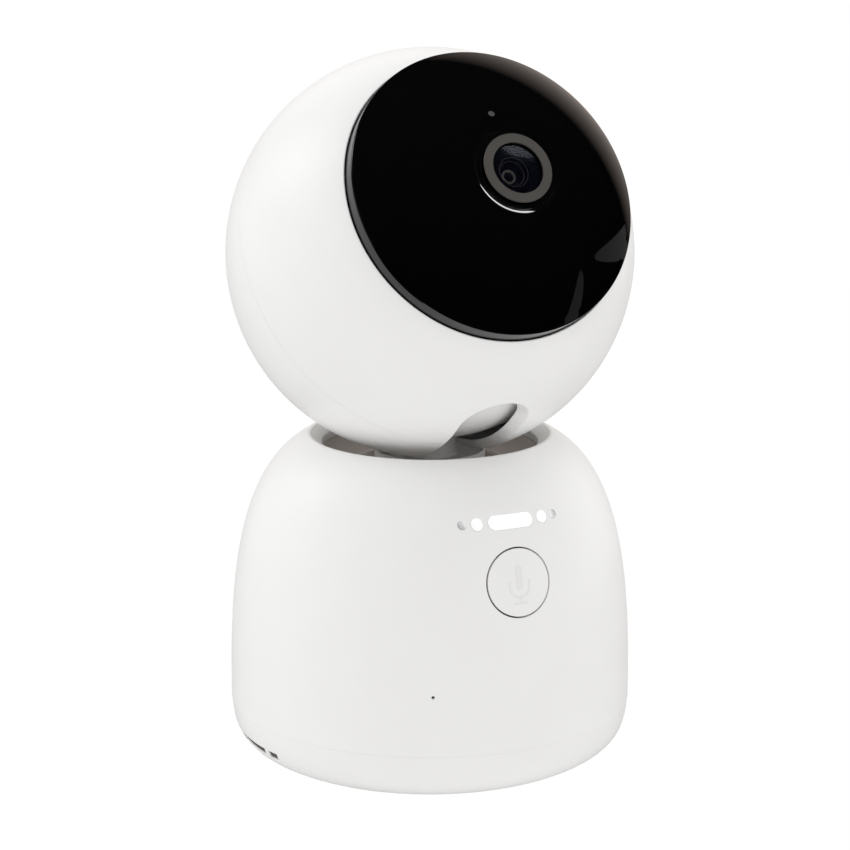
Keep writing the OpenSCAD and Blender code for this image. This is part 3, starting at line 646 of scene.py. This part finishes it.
def build_housing():
    lip = 0.12
    shoulder = curve_points(UPPER_CURVE, RIM_LOW, 1, 6)
    inner_r, inner_z = [(Vector(housing.place(housing.start, 0, BASE_WALL)[0])[k]) for k in (0, 2)]
    rim = shoulder[:-1] + rounded(
        [shoulder[-2], (24.4, 65.0, 0.3), (23.9, 65.0, 0.35), (21.45, 63.3, 0.5), (21.45, 61.8, 0.1),
         (inner_r - 0.4, 61.8), (inner_r, inner_z)], False,
    )[1:]
    recess = pill(13.6 + 2 * 0.3, 7.6 + 2 * 0.3)
    socket_rim = edge(0.3, 1.3)[:-1] + [(2.2, 1.3), (2.2, BASE_WALL), (0, BASE_WALL)]
    loops = [
        ring_at(housing, housing.reach),
        ring_at(housing, 0, 0.7)[::-1],
        housing.cast(circle(BUTTON_R + BUTTON_GAP + lip, 0.35), BUTTON),
        housing.cast(circle(MIC_R + 0.1, 0.1), MIC),
        housing.cast(recess, SOCKET),
    ]
    rims = [
        ("edge", edge(EDGE_SEAM, BASE_WALL)),
        ("axis", rim),
        ("edge", edge(lip, BASE_WALL)),
        ("edge", edge(0.1, BASE_WALL)),
        ("edge", socket_rim),
    ]
    shell(loops, 1.5, housing.place, BASE_WALL, rims).make("base_shell", white, "base", "base_housing")


foot_t = param_at_height(LOWER_CURVE, FLOOR_Z)
cover_top = param_at_height(LOWER_CURVE, SEAM_Z - SEAM_GAP - EDGE_SEAM)
foot_r = bezier(LOWER_CURVE, foot_t)[0]
under = rounded([(0, FLOOR_Z), (foot_r - 0.2, FLOOR_Z, 1.6), bezier(LOWER_CURVE, foot_t + 0.1)], False, 3)
cover = Skin(under[:-1] + curve_points(LOWER_CURVE, foot_t + 0.1, cover_top, 80), 0.0, soften=2.5, side=-1)


def vent(first, last, side, spare=0.0):
    """Outline of one vent on the cover, laid flat. Its ends are square and its top is the housing's edge."""
    low, high = 4.7 - spare, 6.5 + spare
    angles = [-90 + side * a for a in (first - degrees(spare / BASE_R), last + degrees(spare / BASE_R))]
    corners = [(a, z) for a, z in ((angles[0], low), (angles[1], low), (angles[1], high), (angles[0], high))]
    points = []
    for (a0, z0), (a1, z1) in zip(corners, corners[1:] + corners[:1]):
        count = max(3, ceil(max(abs(a1 - a0) * 0.7, abs(z1 - z0)) / 0.4))
        for i in range(count):
            a, z = radians(a0 + (a1 - a0) * i / count), z0 + (z1 - z0) * i / count
            points.append(cover.flat((cos(a), sin(a), z)))
    return points


VENTS = ((75.5, 80.2), (81.6, 98.4), (99.8, 104.5))


def behind(x, y, depth):
    """The cover's surface, moved in to where the lining of the vents begins."""
    return cover.place(x, y, depth + 0.35)


def build_cover():
    wall = BASE_WALL
    vents = [vent(a, b, side) for side in (-1, 1) for a, b in VENTS]
    loops = [ring_at(cover, cover.reach)] + vents
    rims = [("edge", edge(EDGE_SEAM, wall))] + [("edge", edge(0.12, wall))] * len(vents)
    counterbore = [(0, 0), (0.1, 0.1), (0.1, 2.6), (1.35, 2.6), (1.35, 12), (0, 12), (0, wall)]
    for i in range(4):
        a = radians(45 + 90 * i)
        loops.append([(SCREW_RING * cos(a) + x, SCREW_RING * sin(a) + y) for x, y in circle(2.7, 0.45)])
        rims.append(("edge", counterbore))
        a = radians(90 * i)
        loops.append([(FOOT_RING * cos(a) + x, FOOT_RING * sin(a) + y) for x, y in circle(4.4, 0.6)])
        rims.append(("edge", [(0, 0), (0.1, 0.1), (0.1, 0.8), (4.1, 0.8), (4.1, wall), (0, wall)]))
    shell(loops, 1.5, cover.place, wall, rims).make("base_cover", white, "base", "bottom_cover")
    cloth = Solid()
    for side in (-1, 1):
        for first, last in VENTS:
            cloth.merge(shell([vent(first, last, side, 0.03)], 0.8, behind, 0.4, [("edge", edge(0.03, 0.4))]))
    cloth.make("vent_cloth", vent_grey, "base")


def build_dish():
    bowl = curve_points([(21.3, 61.7), (20.85, 58.6), (18.4, 56.6), (15.4, 58.9)], 0, 1, 24)
    profile = [(14.0, 56.6), (15.1, 56.6), (15.1, 57.3), (16.8, 56.6), (19.4, 57.2), (21.6, 59.2), (22.0, 60.4),
               (24.4, 60.4), (24.4, 61.7)]
    lip = rounded([bowl[-1], (14.9, 59.2, 0.12), (14.4, 59.2, 0.25), (14.0, 58.8, 0.12), (14.0, 56.6)], False)
    # the dish takes the grey whose dark brownish tone is partly painted shade from under the ball
    revolve(profile + bowl + lip[1:-1], 220).make("neck_dish", grey_and_painted_shade, "base", "top_dish")


def decal(outline, skin, depth_out=0.05, depth_in=0.35, spacing=0.4):
    """A thin raised piece that follows the skin under it."""

    def place(x, y, depth):
        return skin(x, y, depth - depth_out)

    return shell([outline], spacing, place, depth_in + depth_out, [("edge", edge(0.03, depth_in + depth_out, 45))])


def build_badge():
    solid = Solid()
    spots = [(0.0, pill(9.34, 2.54))]
    for side in (-1, 1):
        spots += [(side * 6.9, circle(1.12, 0.22)), (side * 9.7, circle(0.77, 0.22))]
    for across, outline in spots:
        solid.merge(on_base([(x + across, y) for x, y in outline], BADGE))
    solid.make("front_motif", foil, "base", "front_badge")


def band(path, half):
    """Outline of a line of even width with round ends along a path."""
    left, right = [], []
    for i, p in enumerate(path):
        a, b = Vector(path[max(i - 1, 0)]), Vector(path[min(i + 1, len(path) - 1)])
        across = Vector((a.y - b.y, b.x - a.x)).normalized() * half
        left.append(tuple(Vector(p) + across))
        right.append(tuple(Vector(p) - across))

    def cap(p, start):
        a0 = atan2(start[1] - p[1], start[0] - p[0])
        return [(p[0] + half * cos(a0 - pi * k / 8), p[1] + half * sin(a0 - pi * k / 8)) for k in range(1, 8)]

    loop = left + cap(path[-1], left[-1]) + right[::-1] + cap(path[0], right[0])
    return loop[::-1]


def on_base(outline, matrix):
    """A thin raised mark that follows the housing, from its outline in a frame that faces it."""
    return decal(housing.cast(outline, matrix), housing.place)


def build_button():
    cap = shell(
        [housing.cast(circle(BUTTON_R, 0.3), BUTTON)], 0.8, housing.place, 1.3, [("edge", edge(0.1, 1.3))],
    )
    skirt = revolve([
        (4.9, -4.4), (BUTTON_R + 1.1, -4.4), (BUTTON_R + 1.1, -3.5), (6.1, -3.5), (6.1, -1.95), (4.9, -1.95),
    ], 96)
    cap.merge(skirt.moved(BUTTON))
    # a generic microphone sign, raised a little
    capsule = [(x, y + 0.95) for x, y in ((-yy, xx) for xx, yy in pill(4.6, 1.35, 0.2))]
    cradle = [(2.1 * cos(radians(a)), -0.75 + 2.1 * sin(radians(a))) for a in range(-172, -7, 8)]
    cradle = [(-2.1, 0.2)] + cradle + [(2.1, 0.2)]
    stem = [(0, -2.95), (0, -3.4), (0, -3.85)]
    foot = [(-1.25, -3.95), (0, -3.95), (1.25, -3.95)]
    sign = Solid()
    for outline in (capsule, band(cradle, 0.16), band(stem, 0.16), band(foot, 0.16)):
        sign.merge(on_base(outline, BUTTON))
    sign.make("talk_button_sign", sign_white, "talk_button")
    cap.make("talk_button_cap", white, "talk_button", "talk_button")


def build_feet_and_socket():
    feet = Solid()
    for i in range(4):
        a = radians(90 * i)
        pad = revolve([(0, 0.0)] + rounded([(0, 0), (4.2, 0, 0.35), (4.2, 1.4)], False)[1:] + [(0, 1.4)], 64)
        feet.merge(pad.moved(Matrix.Translation((FOOT_RING * cos(a), FOOT_RING * sin(a), 0))))
    feet.make("foot_pads", rubber, "base", "rubber_feet")
    shift = Matrix.Translation((0, 0, SOCKET_Z)) @ Matrix.Rotation(radians(-90), 4, "X")
    case = sweep_ring(pill(8.94, 3.26, 0.15), rounded(
        [(0, 31.2, 0.1), (0, 38.5, 0.12), (-0.3, 38.5, 0.12), (-0.3, 31.5), (-0.9, 31.2)], True,
    ), True)
    case.merge(sweep_ring(pill(8.3, 2.6, 0.15), [(0, 31.2), (0, 31.9)]))
    case.moved(shift).make("socket_case", steel, "base", "usb_socket")
    tongue = [(-3.35, -0.35), (3.35, -0.35), (3.35, 0.35), (-3.35, 0.35)]
    sweep_ring(rounded([(x, y, 0.12) for x, y in tongue]), [(0, 31.6), (0, 37.45), (-0.15, 37.6)]).moved(shift).make(
        "socket_tongue", black, "base"
    )
    pads = Solid()
    for i in range(12):
        x = -2.75 + 0.5 * i
        plate = [(x - 0.12, -0.38), (x + 0.12, -0.38), (x + 0.12, 0.38), (x - 0.12, 0.38)]
        pads.merge(sweep_ring(rounded([(a, b, 0.04) for a, b in plate]), [(0, 33.5), (0, 36.9)]))
    pads.moved(shift).make("socket_contacts", brass, "base")


# ---- neck ----


def build_neck():
    gap_r = BALL_R + 0.6

    def under_ball(r):
        return BALL_Z - sqrt(gap_r ** 2 - r * r)

    concave = [(r, under_ball(r)) for r in (10.6, 9.8, 9.0, 8.2, 7.4, 6.7)]
    outer = rounded([(11.0, 54.72), (11.0, under_ball(11.0) - 0.05, 0.3), concave[0]], False)
    profile = (
        [(3.1, 46.5), (7.0, 46.5), (7.0, 54.72)] + outer[:-1] + concave
        + rounded([concave[-1], (5.2, under_ball(5.2), 0.4), (5.2, 78.2)], False)[1:]
        + [(4.6, 78.2), (4.6, 84.4), (3.1, 84.4)]
    )
    revolve(profile, 160).make("neck_post", white, "neck", "neck")


def build_slot_cover():
    def place(x, y, depth):
        lam, across = x / COVER_R, y
        c = sqrt(1 - (across / COVER_R) ** 2)
        d = Vector((across / COVER_R, -sin(lam) * c, cos(lam) * c))
        return d * (COVER_R - depth), d

    lip = 0.3
    first, last = radians(COVER_FROM) * COVER_R + lip, radians(COVER_TO) * COVER_R - lip
    half = COVER_HALF - lip
    corners = [(first, -half, 2.5), (last, -half, 2.5), (last, half, 2.5), (first, half, 2.5)]
    outline = []
    bends = rounded(corners, True, 10)
    for (ax, ay), (bx, by) in zip(bends, bends[1:] + bends[:1]):
        count = max(1, ceil(hypot(bx - ax, by - ay) / 0.9))
        outline += [(ax + (bx - ax) * i / count, ay + (by - ay) * i / count) for i in range(count)]
    hole = [(pi / 2 * COVER_R + x, y) for x, y in circle(6.0 + 0.1, 0.5)]
    rims = [("edge", edge(lip, COVER_T)), ("edge", edge(0.1, COVER_T))]
    shell([outline, hole], 1.3, place, COVER_T, rims).moved(YOKE).make("slot_guard", white, "neck", "slot_cover")


# ---- head ----

SEAM_LIP = 0.06


def ball_place(pole):
    """The ball, laid flat about the lens axis. Beside the slot its outer face is chamfered, with a soft corner."""
    soft = 0.14
    bend = asin(SLOT_HALF / BALL_R)
    first, last = radians(SLOT_FRONT) + bend, radians(SLOT_REAR) - bend

    def place(x, y, depth):
        angle, a = hypot(x, y) / BALL_R, atan2(y, x)
        d = Vector((sin(angle) * cos(a), sin(angle) * sin(a), pole * cos(angle)))
        if depth > 0:
            return d * (BALL_R - depth), d
        lam = atan2(-d.y, d.z) % (2 * pi)
        middle = min(max(lam, first), last)
        axis = Vector((0, -sin(middle), cos(middle)))
        if first < lam < last:
            off, out = asin(abs(d.x)), Vector((1 if d.x > 0 else -1, 0, 0))
        else:
            off, out = acos(min(1, d.dot(axis))), d - axis * d.dot(axis)
        into = (SLOT_HALF + FLARE - BALL_R * sin(off)) / FLARE
        if into <= 0:
            return d * BALL_R, d
        out = (out - d * out.dot(d)).normalized()
        bend_size = sqrt(into * into + soft * soft)
        fall = FLARE_DEPTH / FLARE / (sqrt(1 + soft * soft) - soft)
        down = d * (BALL_R - FLARE * fall * (bend_size - soft))
        return down, (d - out * fall * into / bend_size).normalized()

    return place


def ball_flat(d, pole):
    length, across = BALL_R * acos(max(-1, min(1, pole * d.z))), hypot(d.x, d.y)
    return (length * d.x / across, length * d.y / across)


def slot_point(across, lam):
    c = sqrt(1 - (across / BALL_R) ** 2)
    return Vector((across / BALL_R, -sin(lam) * c, cos(lam) * c))


def slot_edge(pole, half):
    """One shell's part of the slot's outline, at a given half width, laid flat."""
    seam_off = HEAD_SEAM + 0.02 * pole + pole * SEAM_LIP
    bend = asin(SLOT_HALF / BALL_R)
    centre = radians(SLOT_FRONT) + bend if pole > 0 else radians(SLOT_REAR) - bend
    meet = acos(seam_off / BALL_R / sqrt(1 - (half / BALL_R) ** 2))
    side_steps = max(4, ceil(abs(meet - centre) * BALL_R / 0.6))
    sides = [meet + (centre - meet) * i / side_steps for i in range(side_steps)]
    reach = asin(half / BALL_R)
    axis = slot_point(0, centre)
    onward = Vector((0, cos(centre), sin(centre))) * pole
    arc = []
    for i in range(49):
        t = pi * i / 48
        arc.append(axis * cos(reach) + (Vector((1, 0, 0)) * -cos(t) + onward * sin(t)) * sin(reach))
    slot = [slot_point(-half, lam) for lam in sides] + arc + [slot_point(half, lam) for lam in reversed(sides)]
    return [ball_flat(d, pole) for d in slot]


def shell_outline(pole):
    """Seam edge and slot edge of one shell, laid flat, with guide points that carry the rolled edge."""
    slot = slot_edge(pole, SLOT_HALF + SEAM_LIP)
    seam_length = BALL_R * acos(pole * (HEAD_SEAM + 0.02 * pole + pole * SEAM_LIP) / BALL_R)
    start = atan2(slot[-1][1], slot[-1][0])
    end = pi - start
    count = 300
    near = [0.05, 0.12, 0.22, 0.35, 0.52, 0.72, 0.95, 1.2, 1.5]
    span = BALL_R * (end - start)
    marks = near + [1.9 + (span - 3.8) * i / count for i in range(count + 1)]
    marks += [span - m for m in reversed(near)]
    seam = [(seam_length * cos(start + m / BALL_R), seam_length * sin(start + m / BALL_R)) for m in marks]
    guides = []
    for share in (0.06, 0.15, 0.28, 0.44, 0.62, 0.82, 1.0):
        guides += slot_edge(pole, SLOT_HALF + SEAM_LIP + (FLARE - SEAM_LIP) * share)[1:-1]
    return seam + slot, len(slot), guides


def shell_rims(points, slot_count):
    """Rim profile at each point of a shell's outline: a small lip on the seam, a plain wall in the slot."""
    lip = edge(SEAM_LIP, BALL_WALL)
    plain = [(i / (len(lip) - 1), 0) for i in range(len(lip) - 1)] + [STRAIGHT]
    return [lip] * (len(points) - slot_count) + [plain] * slot_count


def build_ball():
    points, slot_count, guides = shell_outline(1)
    lip = 0.3
    recess_r = DOME_EDGE_R + DOME_GAP
    angle = asin((recess_r + lip) / BALL_R)
    outer = (BALL_R * sin(angle), BALL_R * cos(angle))
    inner = ((BALL_R - BALL_WALL) * sin(angle), (BALL_R - BALL_WALL) * cos(angle))
    rim = rounded(
        [outer, (recess_r, sqrt(BALL_R ** 2 - recess_r ** 2), 0.18), (recess_r, 27.0), (26.6, 27.0), inner], False
    )
    front = shell(
        [points, circle(BALL_R * angle, 0.8)[::-1]], 1.5, ball_place(1), BALL_WALL,
        [("edge", shell_rims(points, slot_count)), ("axis", rim)], guides,
    )
    front.moved(LENS).make("ball_front", white, "head", "head_front_shell")
    points, slot_count, guides = shell_outline(-1)
    rear = shell([points], 1.5, ball_place(-1), BALL_WALL, [("edge", shell_rims(points, slot_count))], guides)
    rear.moved(LENS).make("ball_rear", white, "head", "head_rear_shell")


def arc_profile(radius, r_from, r_to, steps):
    """Points (r, z) on a sphere about the origin, evenly spaced by angle."""
    a, b = asin(r_from / radius), asin(r_to / radius)
    return [(radius * sin(a + (b - a) * i / steps), radius * cos(a + (b - a) * i / steps)) for i in range(steps + 1)]


def build_dome():
    edge_z = sqrt(DOME_R ** 2 - DOME_EDGE_R ** 2)
    outer = arc_profile(DOME_R, 27.2, RECESS_R, 60)
    corner = rounded([(DOME_EDGE_R, 27.05), (DOME_EDGE_R, edge_z, 0.55), outer[0]], False, 6)
    inner = arc_profile(40.3, RECESS_R, 26.6, 40)
    profile = [(26.6, 27.05)] + corner[:-1] + outer + inner
    revolve(profile, 300).moved(LENS).make("dome_window", gloss_black, "head", "front_dome")
    # the recess round the lens, a little below the dome's face, with a bevel that steepens inwards
    floor_z, step, rim_r = 40.6, 0.052, RECESS_R - 0.01
    slope, z = [], sqrt(DOME_R ** 2 - RECESS_R ** 2) - 0.02
    for i in range(13):
        slope.append((rim_r - i * step, z))
        z -= step * tan(radians(3 + 2 * i))
    foot = rounded([slope[-1], (7.85, floor_z, 0.1), (6.9, floor_z)], False, 6)[1:-1]
    recess = [(6.9, floor_z), (6.9, 39.7), (rim_r, 39.7)] + slope + foot
    revolve(recess, 240).moved(LENS).make("lens_recess", gloss_black, "head")


def build_lens():
    face = LENS_TOP - 0.35
    ring = rounded([(5.02, face), (6.8, face), (6.8, LENS_TOP, 0.14), (5.02, LENS_TOP, 0.06)])
    revolve(ring, 220).moved(LENS).make("lens_surround", ring_grey, "head", "lens_ring")
    collar = rounded([(4.3, 39.4), (6.62, 39.4), (6.62, face - 0.01), (5.06, face - 0.01), (5.06, 40.0), (4.3, 40.0)])
    revolve(collar, 160).moved(LENS).make("lens_collar", gloss_black, "head")
    # black stop behind the front glass, then the stepped barrel
    stop = rounded([
        (2.86, 39.0), (4.28, 39.0), (4.28, 39.7), (4.98, 40.02), (4.98, 40.2, 0.05), (4.5, 40.05, 0.3),
        (3.1, 39.45, 0.1), (2.86, 39.45, 0.05),
    ])
    revolve(stop, 160).moved(LENS).make("lens_stop", lens_black, "head")
    barrel = rounded([
        (4.2, 27.2), (5.9, 27.2, 0.2), (5.9, 38.95, 0.1), (2.84, 38.95, 0.04), (2.84, 38.75, 0.04), (2.44, 38.7, 0.05),
        (2.4, 38.2, 0.1), (1.75, 37.4, 0.2), (1.45, 37.2, 0.04), (1.42, 36.0), (4.2, 35.6),
    ])
    revolve(barrel, 160).moved(LENS).make("lens_tube", lens_black, "head", "lens_barrel")
    steps = Solid()
    for radius, z, wide in ((2.92, 39.48, 0.06), (2.46, 38.76, 0.08)):
        steps.merge(revolve(rounded([
            (radius - wide, z - 0.1), (radius + wide, z - 0.1), (radius + wide, z + 0.03, 0.03),
            (radius - wide, z + 0.03, 0.03),
        ]), 120))
    steps.moved(LENS).make("lens_step_rings", step_grey, "head")
    inner_ring = revolve(rounded([
        (0.98, 37.05), (1.4, 37.05), (1.4, 37.42, 0.08), (1.2, 37.5, 0.1), (0.98, 37.3, 0.08),
    ]), 96)
    inner_ring.moved(LENS).make("lens_inner_ring", inner_ring_grey, "head")
    bulge = arc_profile(26.0, 0.0, 4.96, 20)
    lift = LENS_TOP - 0.1 - 26.0
    glass = [(r, 40.62 - (r / 4.96) ** 2 * 0.3) for r in [4.96 * i / 12 for i in range(13)]]
    glass += [(r, z + lift) for r, z in bulge][::-1]
    revolve(glass, 160).moved(LENS).make("lens_front_element", front_glass, "head", "lens_front_glass")
    inner = Solid()
    for radius, z, bulge_z in ((0.96, 36.95, 0.4), (1.36, 36.2, 0.3)):
        spread = [radius * i / 14 for i in range(15)]
        cap = [(r, z + bulge_z * (1 - (r / radius) ** 2)) for r in reversed(spread)]
        inner.merge(revolve([(0, z - 0.3), (radius, z - 0.3)] + cap, 96))
    inner.moved(LENS).make("lens_inner_elements", inner_glass, "head", "lens_inner_glass")


def build_sensor_window():
    left, above, radius = 2.0, 11.4, 0.7
    there = (
        LENS @ Matrix.Rotation(atan2(left, above), 4, "Z")
        @ Matrix.Rotation(-asin(hypot(left, above) / DOME_R), 4, "X") @ Matrix.Translation((0, 0, DOME_R))
    )
    crown = [(radius * cos(radians(a)), -0.12 + 0.24 * sin(radians(a))) for a in range(0, 91, 9)]
    bead = [(0, -0.4), (radius, -0.4)] + crown[:-1] + [(0, crown[-1][1])]
    revolve(bead, 48).moved(there).make("sensor_window", sensor_grey, "head")


lens_black = grain(
    material("lens_black", (0.006, 0.006, 0.009), 0.22, slot="black_plastic"),
    5200, 0.2, roughness=(0.16, 0.3), tint=((0.005, 0.005, 0.007), (0.009, 0.009, 0.013)),
)
front_glass = grain(
    material("front_glass", (0.004, 0.005, 0.012), 0.02, slot="lens_glass", IOR=1.5, Alpha=0.3, Coat_Weight=0.3),
    90, 0.0, distance=0.000002, detail=0.0, roughness=(0.1, 0.13),
)
step_grey = grain(
    material("step_grey", (0.16, 0.155, 0.15), 0.3, metallic=0.4, slot="black_plastic"),
    9000, 0.2, roughness=(0.25, 0.36), tint=((0.14, 0.135, 0.13), (0.18, 0.175, 0.17)),
)
inner_ring_grey = grain(
    material("inner_ring_grey", (0.5, 0.49, 0.46), 0.3, metallic=0.4, slot="black_plastic"),
    9000, 0.2, roughness=(0.25, 0.36), tint=((0.46, 0.45, 0.42), (0.54, 0.53, 0.5)),
)
inner_glass = grain(
    material("inner_lens", (0.012, 0.011, 0.016), 0.03, slot="lens_glass", IOR=1.6, Coat_Weight=0.6),
    400, 0.01, distance=0.00001, roughness=(0.01, 0.05),
)
sensor_grey = grain(
    material("sensor_clear", (0.075, 0.075, 0.078), 0.16, slot="lens_glass"),
    1200, 0.1, roughness=(0.12, 0.24),
)

build_housing()
build_cover()
build_dish()
build_badge()
build_button()
build_feet_and_socket()
build_neck()
build_slot_cover()
build_ball()
build_dome()
build_lens()
build_sensor_window()

# CAD nodes that stay take the material of their slot
for row in frame["record"]["subparts"]:
    node = frame["nodes"][row["node"]]
    node.data.materials.clear()
    node.data.materials.append(by_slot[row["material_slot"]])

# ---- stage ----


def stage_plane(name, size, made):
    mesh = bpy.data.meshes.new(name)
    corners = [(-size, -size, 0), (size, -size, 0), (size, size, 0), (-size, size, 0)]
    mesh.from_pydata(corners, [], [(0, 1, 2, 3)])
    mesh.materials.append(made)
    plane = bpy.data.objects.new(name, mesh)
    bpy.context.scene.collection.objects.link(plane)
    return plane


def emissive(name, colour, strength):
    made = material(name, (0, 0, 0), 0.9)
    shader = made.node_tree.nodes["Principled BSDF"]
    shader.inputs["Emission Color"].default_value = (*colour, 1)
    shader.inputs["Emission Strength"].default_value = strength
    return made


floor = stage_plane("floor", 3.0, emissive("floor_white", (1, 1, 1), 1.0))
floor.location.z = -0.0002
floor.visible_glossy = False
floor.visible_diffuse = False
bounce = stage_plane("floor_bounce", 1.5, emissive("floor_light", (1, 1, 1), 1.12))
bounce.location.z = -0.0004
bounce.visible_glossy = False
bounce.visible_camera = False

world = bpy.data.worlds.new("studio")
bpy.context.scene.world = world
world.use_nodes = True
backdrop = world.node_tree.nodes["Background"]
backdrop.inputs["Color"].default_value = (1, 1, 1, 1)
backdrop.inputs["Strength"].default_value = 1.0
world.cycles_visibility.glossy = False

# The object's middle, and the level directions to the camera's right and towards it
MIDDLE = Vector((0, 0, 0.075))
RIGHT, TOWARD = Vector((0.8957, -0.4446, 0)).normalized(), Vector((-0.4446, -0.8957, 0)).normalized()


def spot_from(across, toward, up, distance=0.9):
    """A place seen from the object's middle in a direction given as right, towards the camera, up."""
    way = (RIGHT * across + TOWARD * toward + Vector((0, 0, up))).normalized()
    return MIDDLE + way * distance


def softbox(
    name, place, width, height, power, colour=(1, 1, 1), target=MIDDLE, only=(), shape="RECTANGLE", roll=0,
):
    """An area light, seen in gloss but not by the camera. With only, it lights just those pieces."""
    data = bpy.data.lights.new(name, "AREA")
    data.shape = shape
    data.size, data.size_y = width, height
    data.energy = power
    data.color = colour
    made = bpy.data.objects.new(name, data)
    bpy.context.scene.collection.objects.link(made)
    aim = (Vector(target) - place).normalized()
    made.location = place
    turned = aim.to_track_quat("-Z", "Y").to_matrix() @ Matrix.Rotation(radians(roll), 3, "Z")
    made.rotation_euler = turned.to_euler()
    made.visible_camera = False
    if only:
        lit = bpy.data.collections.new(name + "_lights")
        for piece in only:
            lit.objects.link(bpy.data.objects[piece])
        made.light_linking.receiver_collection = lit


COOL = (0.96, 0.98, 1)
WHITES = ["ball_front", "ball_rear", "base_shell", "base_cover", "talk_button_cap", "talk_button_sign", "slot_guard",
          "neck_post", "neck_dish"]
softbox("key", spot_from(-0.8, -0.14, 0.58), 0.34, 0.34, 1.3, colour=COOL)
softbox("left", spot_from(-1, 0.15, 0.1), 0.6, 0.6, 0.25, colour=COOL)
softbox("left_gloss", spot_from(-1, 0.15, 0.1), 0.6, 0.6, 0.4, only=["dome_window"])
softbox("left_back", spot_from(-0.85, -0.5, 0.2), 0.7, 0.7, 0.8, colour=COOL, only=WHITES)
softbox("right_back", spot_from(0.85, -0.5, 0.2), 0.7, 0.7, 1.8, only=WHITES)
softbox("top_back", spot_from(-0.1, -0.8, 0.7), 0.8, 0.8, 1.5, only=WHITES)
softbox("foil_card", spot_from(0.62, 0.36, 0.63), 1.0, 1.0, 3.6, only=["front_motif"])
softbox("glass_card", spot_from(0.6, -0.02, 0.79), 0.5, 0.24, 0.75, colour=(0.82, 0.9, 1),
        target=(0, -0.035, 0.12), only=["lens_front_element"], shape="ELLIPSE", roll=-43)
softbox("recess_card", spot_from(0.59, -0.15, 0.79), 0.65, 0.36, 6.0, only=["lens_recess"],
        shape="ELLIPSE")
softbox("strip_low", spot_from(0.88, 0.07, -0.47, 3), 0.42, 2.5, 0.42, only=["dome_window"],
        shape="ELLIPSE")
softbox("strip_side", spot_from(0.8, -0.6, -0.04, 3), 3.6, 0.4, 0.6, only=["dome_window"],
        shape="ELLIPSE")


def back_card():
    """A dim warm card behind the object, seen only in gloss. It fades out from its middle."""
    made = emissive("card_brown", (1, 0.86, 0.78), 0.1)
    away = add_node(made, "ShaderNodeVectorMath", operation="LENGTH")
    made.node_tree.links.new(object_coordinates(made), away.inputs[0])
    fade = add_node(made, "ShaderNodeMapRange")
    for key, value in (("From Min", 0.1), ("From Max", 1.0), ("To Min", 0.68), ("To Max", 0.0)):
        fade.inputs[key].default_value = value
    made.node_tree.links.new(away.outputs["Value"], fade.inputs["Value"])
    shader = made.node_tree.nodes["Principled BSDF"]
    made.node_tree.links.new(fade.outputs["Result"], shader.inputs["Emission Strength"])
    card = stage_plane("back_card", 1.0, made)
    middle = RIGHT * 0.15 - TOWARD * 0.9 + Vector((0, 0, 0.2))
    card.matrix_world = Matrix((
        (RIGHT.x, 0, TOWARD.x, middle.x), (RIGHT.y, 0, TOWARD.y, middle.y), (0, 1, 0, middle.z), (0, 0, 0, 1),
    ))
    card.visible_camera = card.visible_diffuse = card.visible_shadow = card.visible_transmission = False


back_card()

camera = bpy.data.objects.new("camera", bpy.data.cameras.new("camera"))
bpy.context.scene.collection.objects.link(camera)
stand = Vector((-0.2167, -0.4344, 0.1778))
back = -Vector((0.4333, 0.8730, -0.2239)).normalized()
up = back.cross(RIGHT).normalized()
camera.matrix_world = Matrix([(*axis, 0) for axis in (RIGHT, up, back)] + [(*stand, 1)]).transposed()
camera.data.lens = 105.9
camera.data.sensor_width = 36
camera.data.clip_start = 0.01
bpy.context.scene.camera = camera
bpy.context.scene.view_settings.view_transform = "Standard"
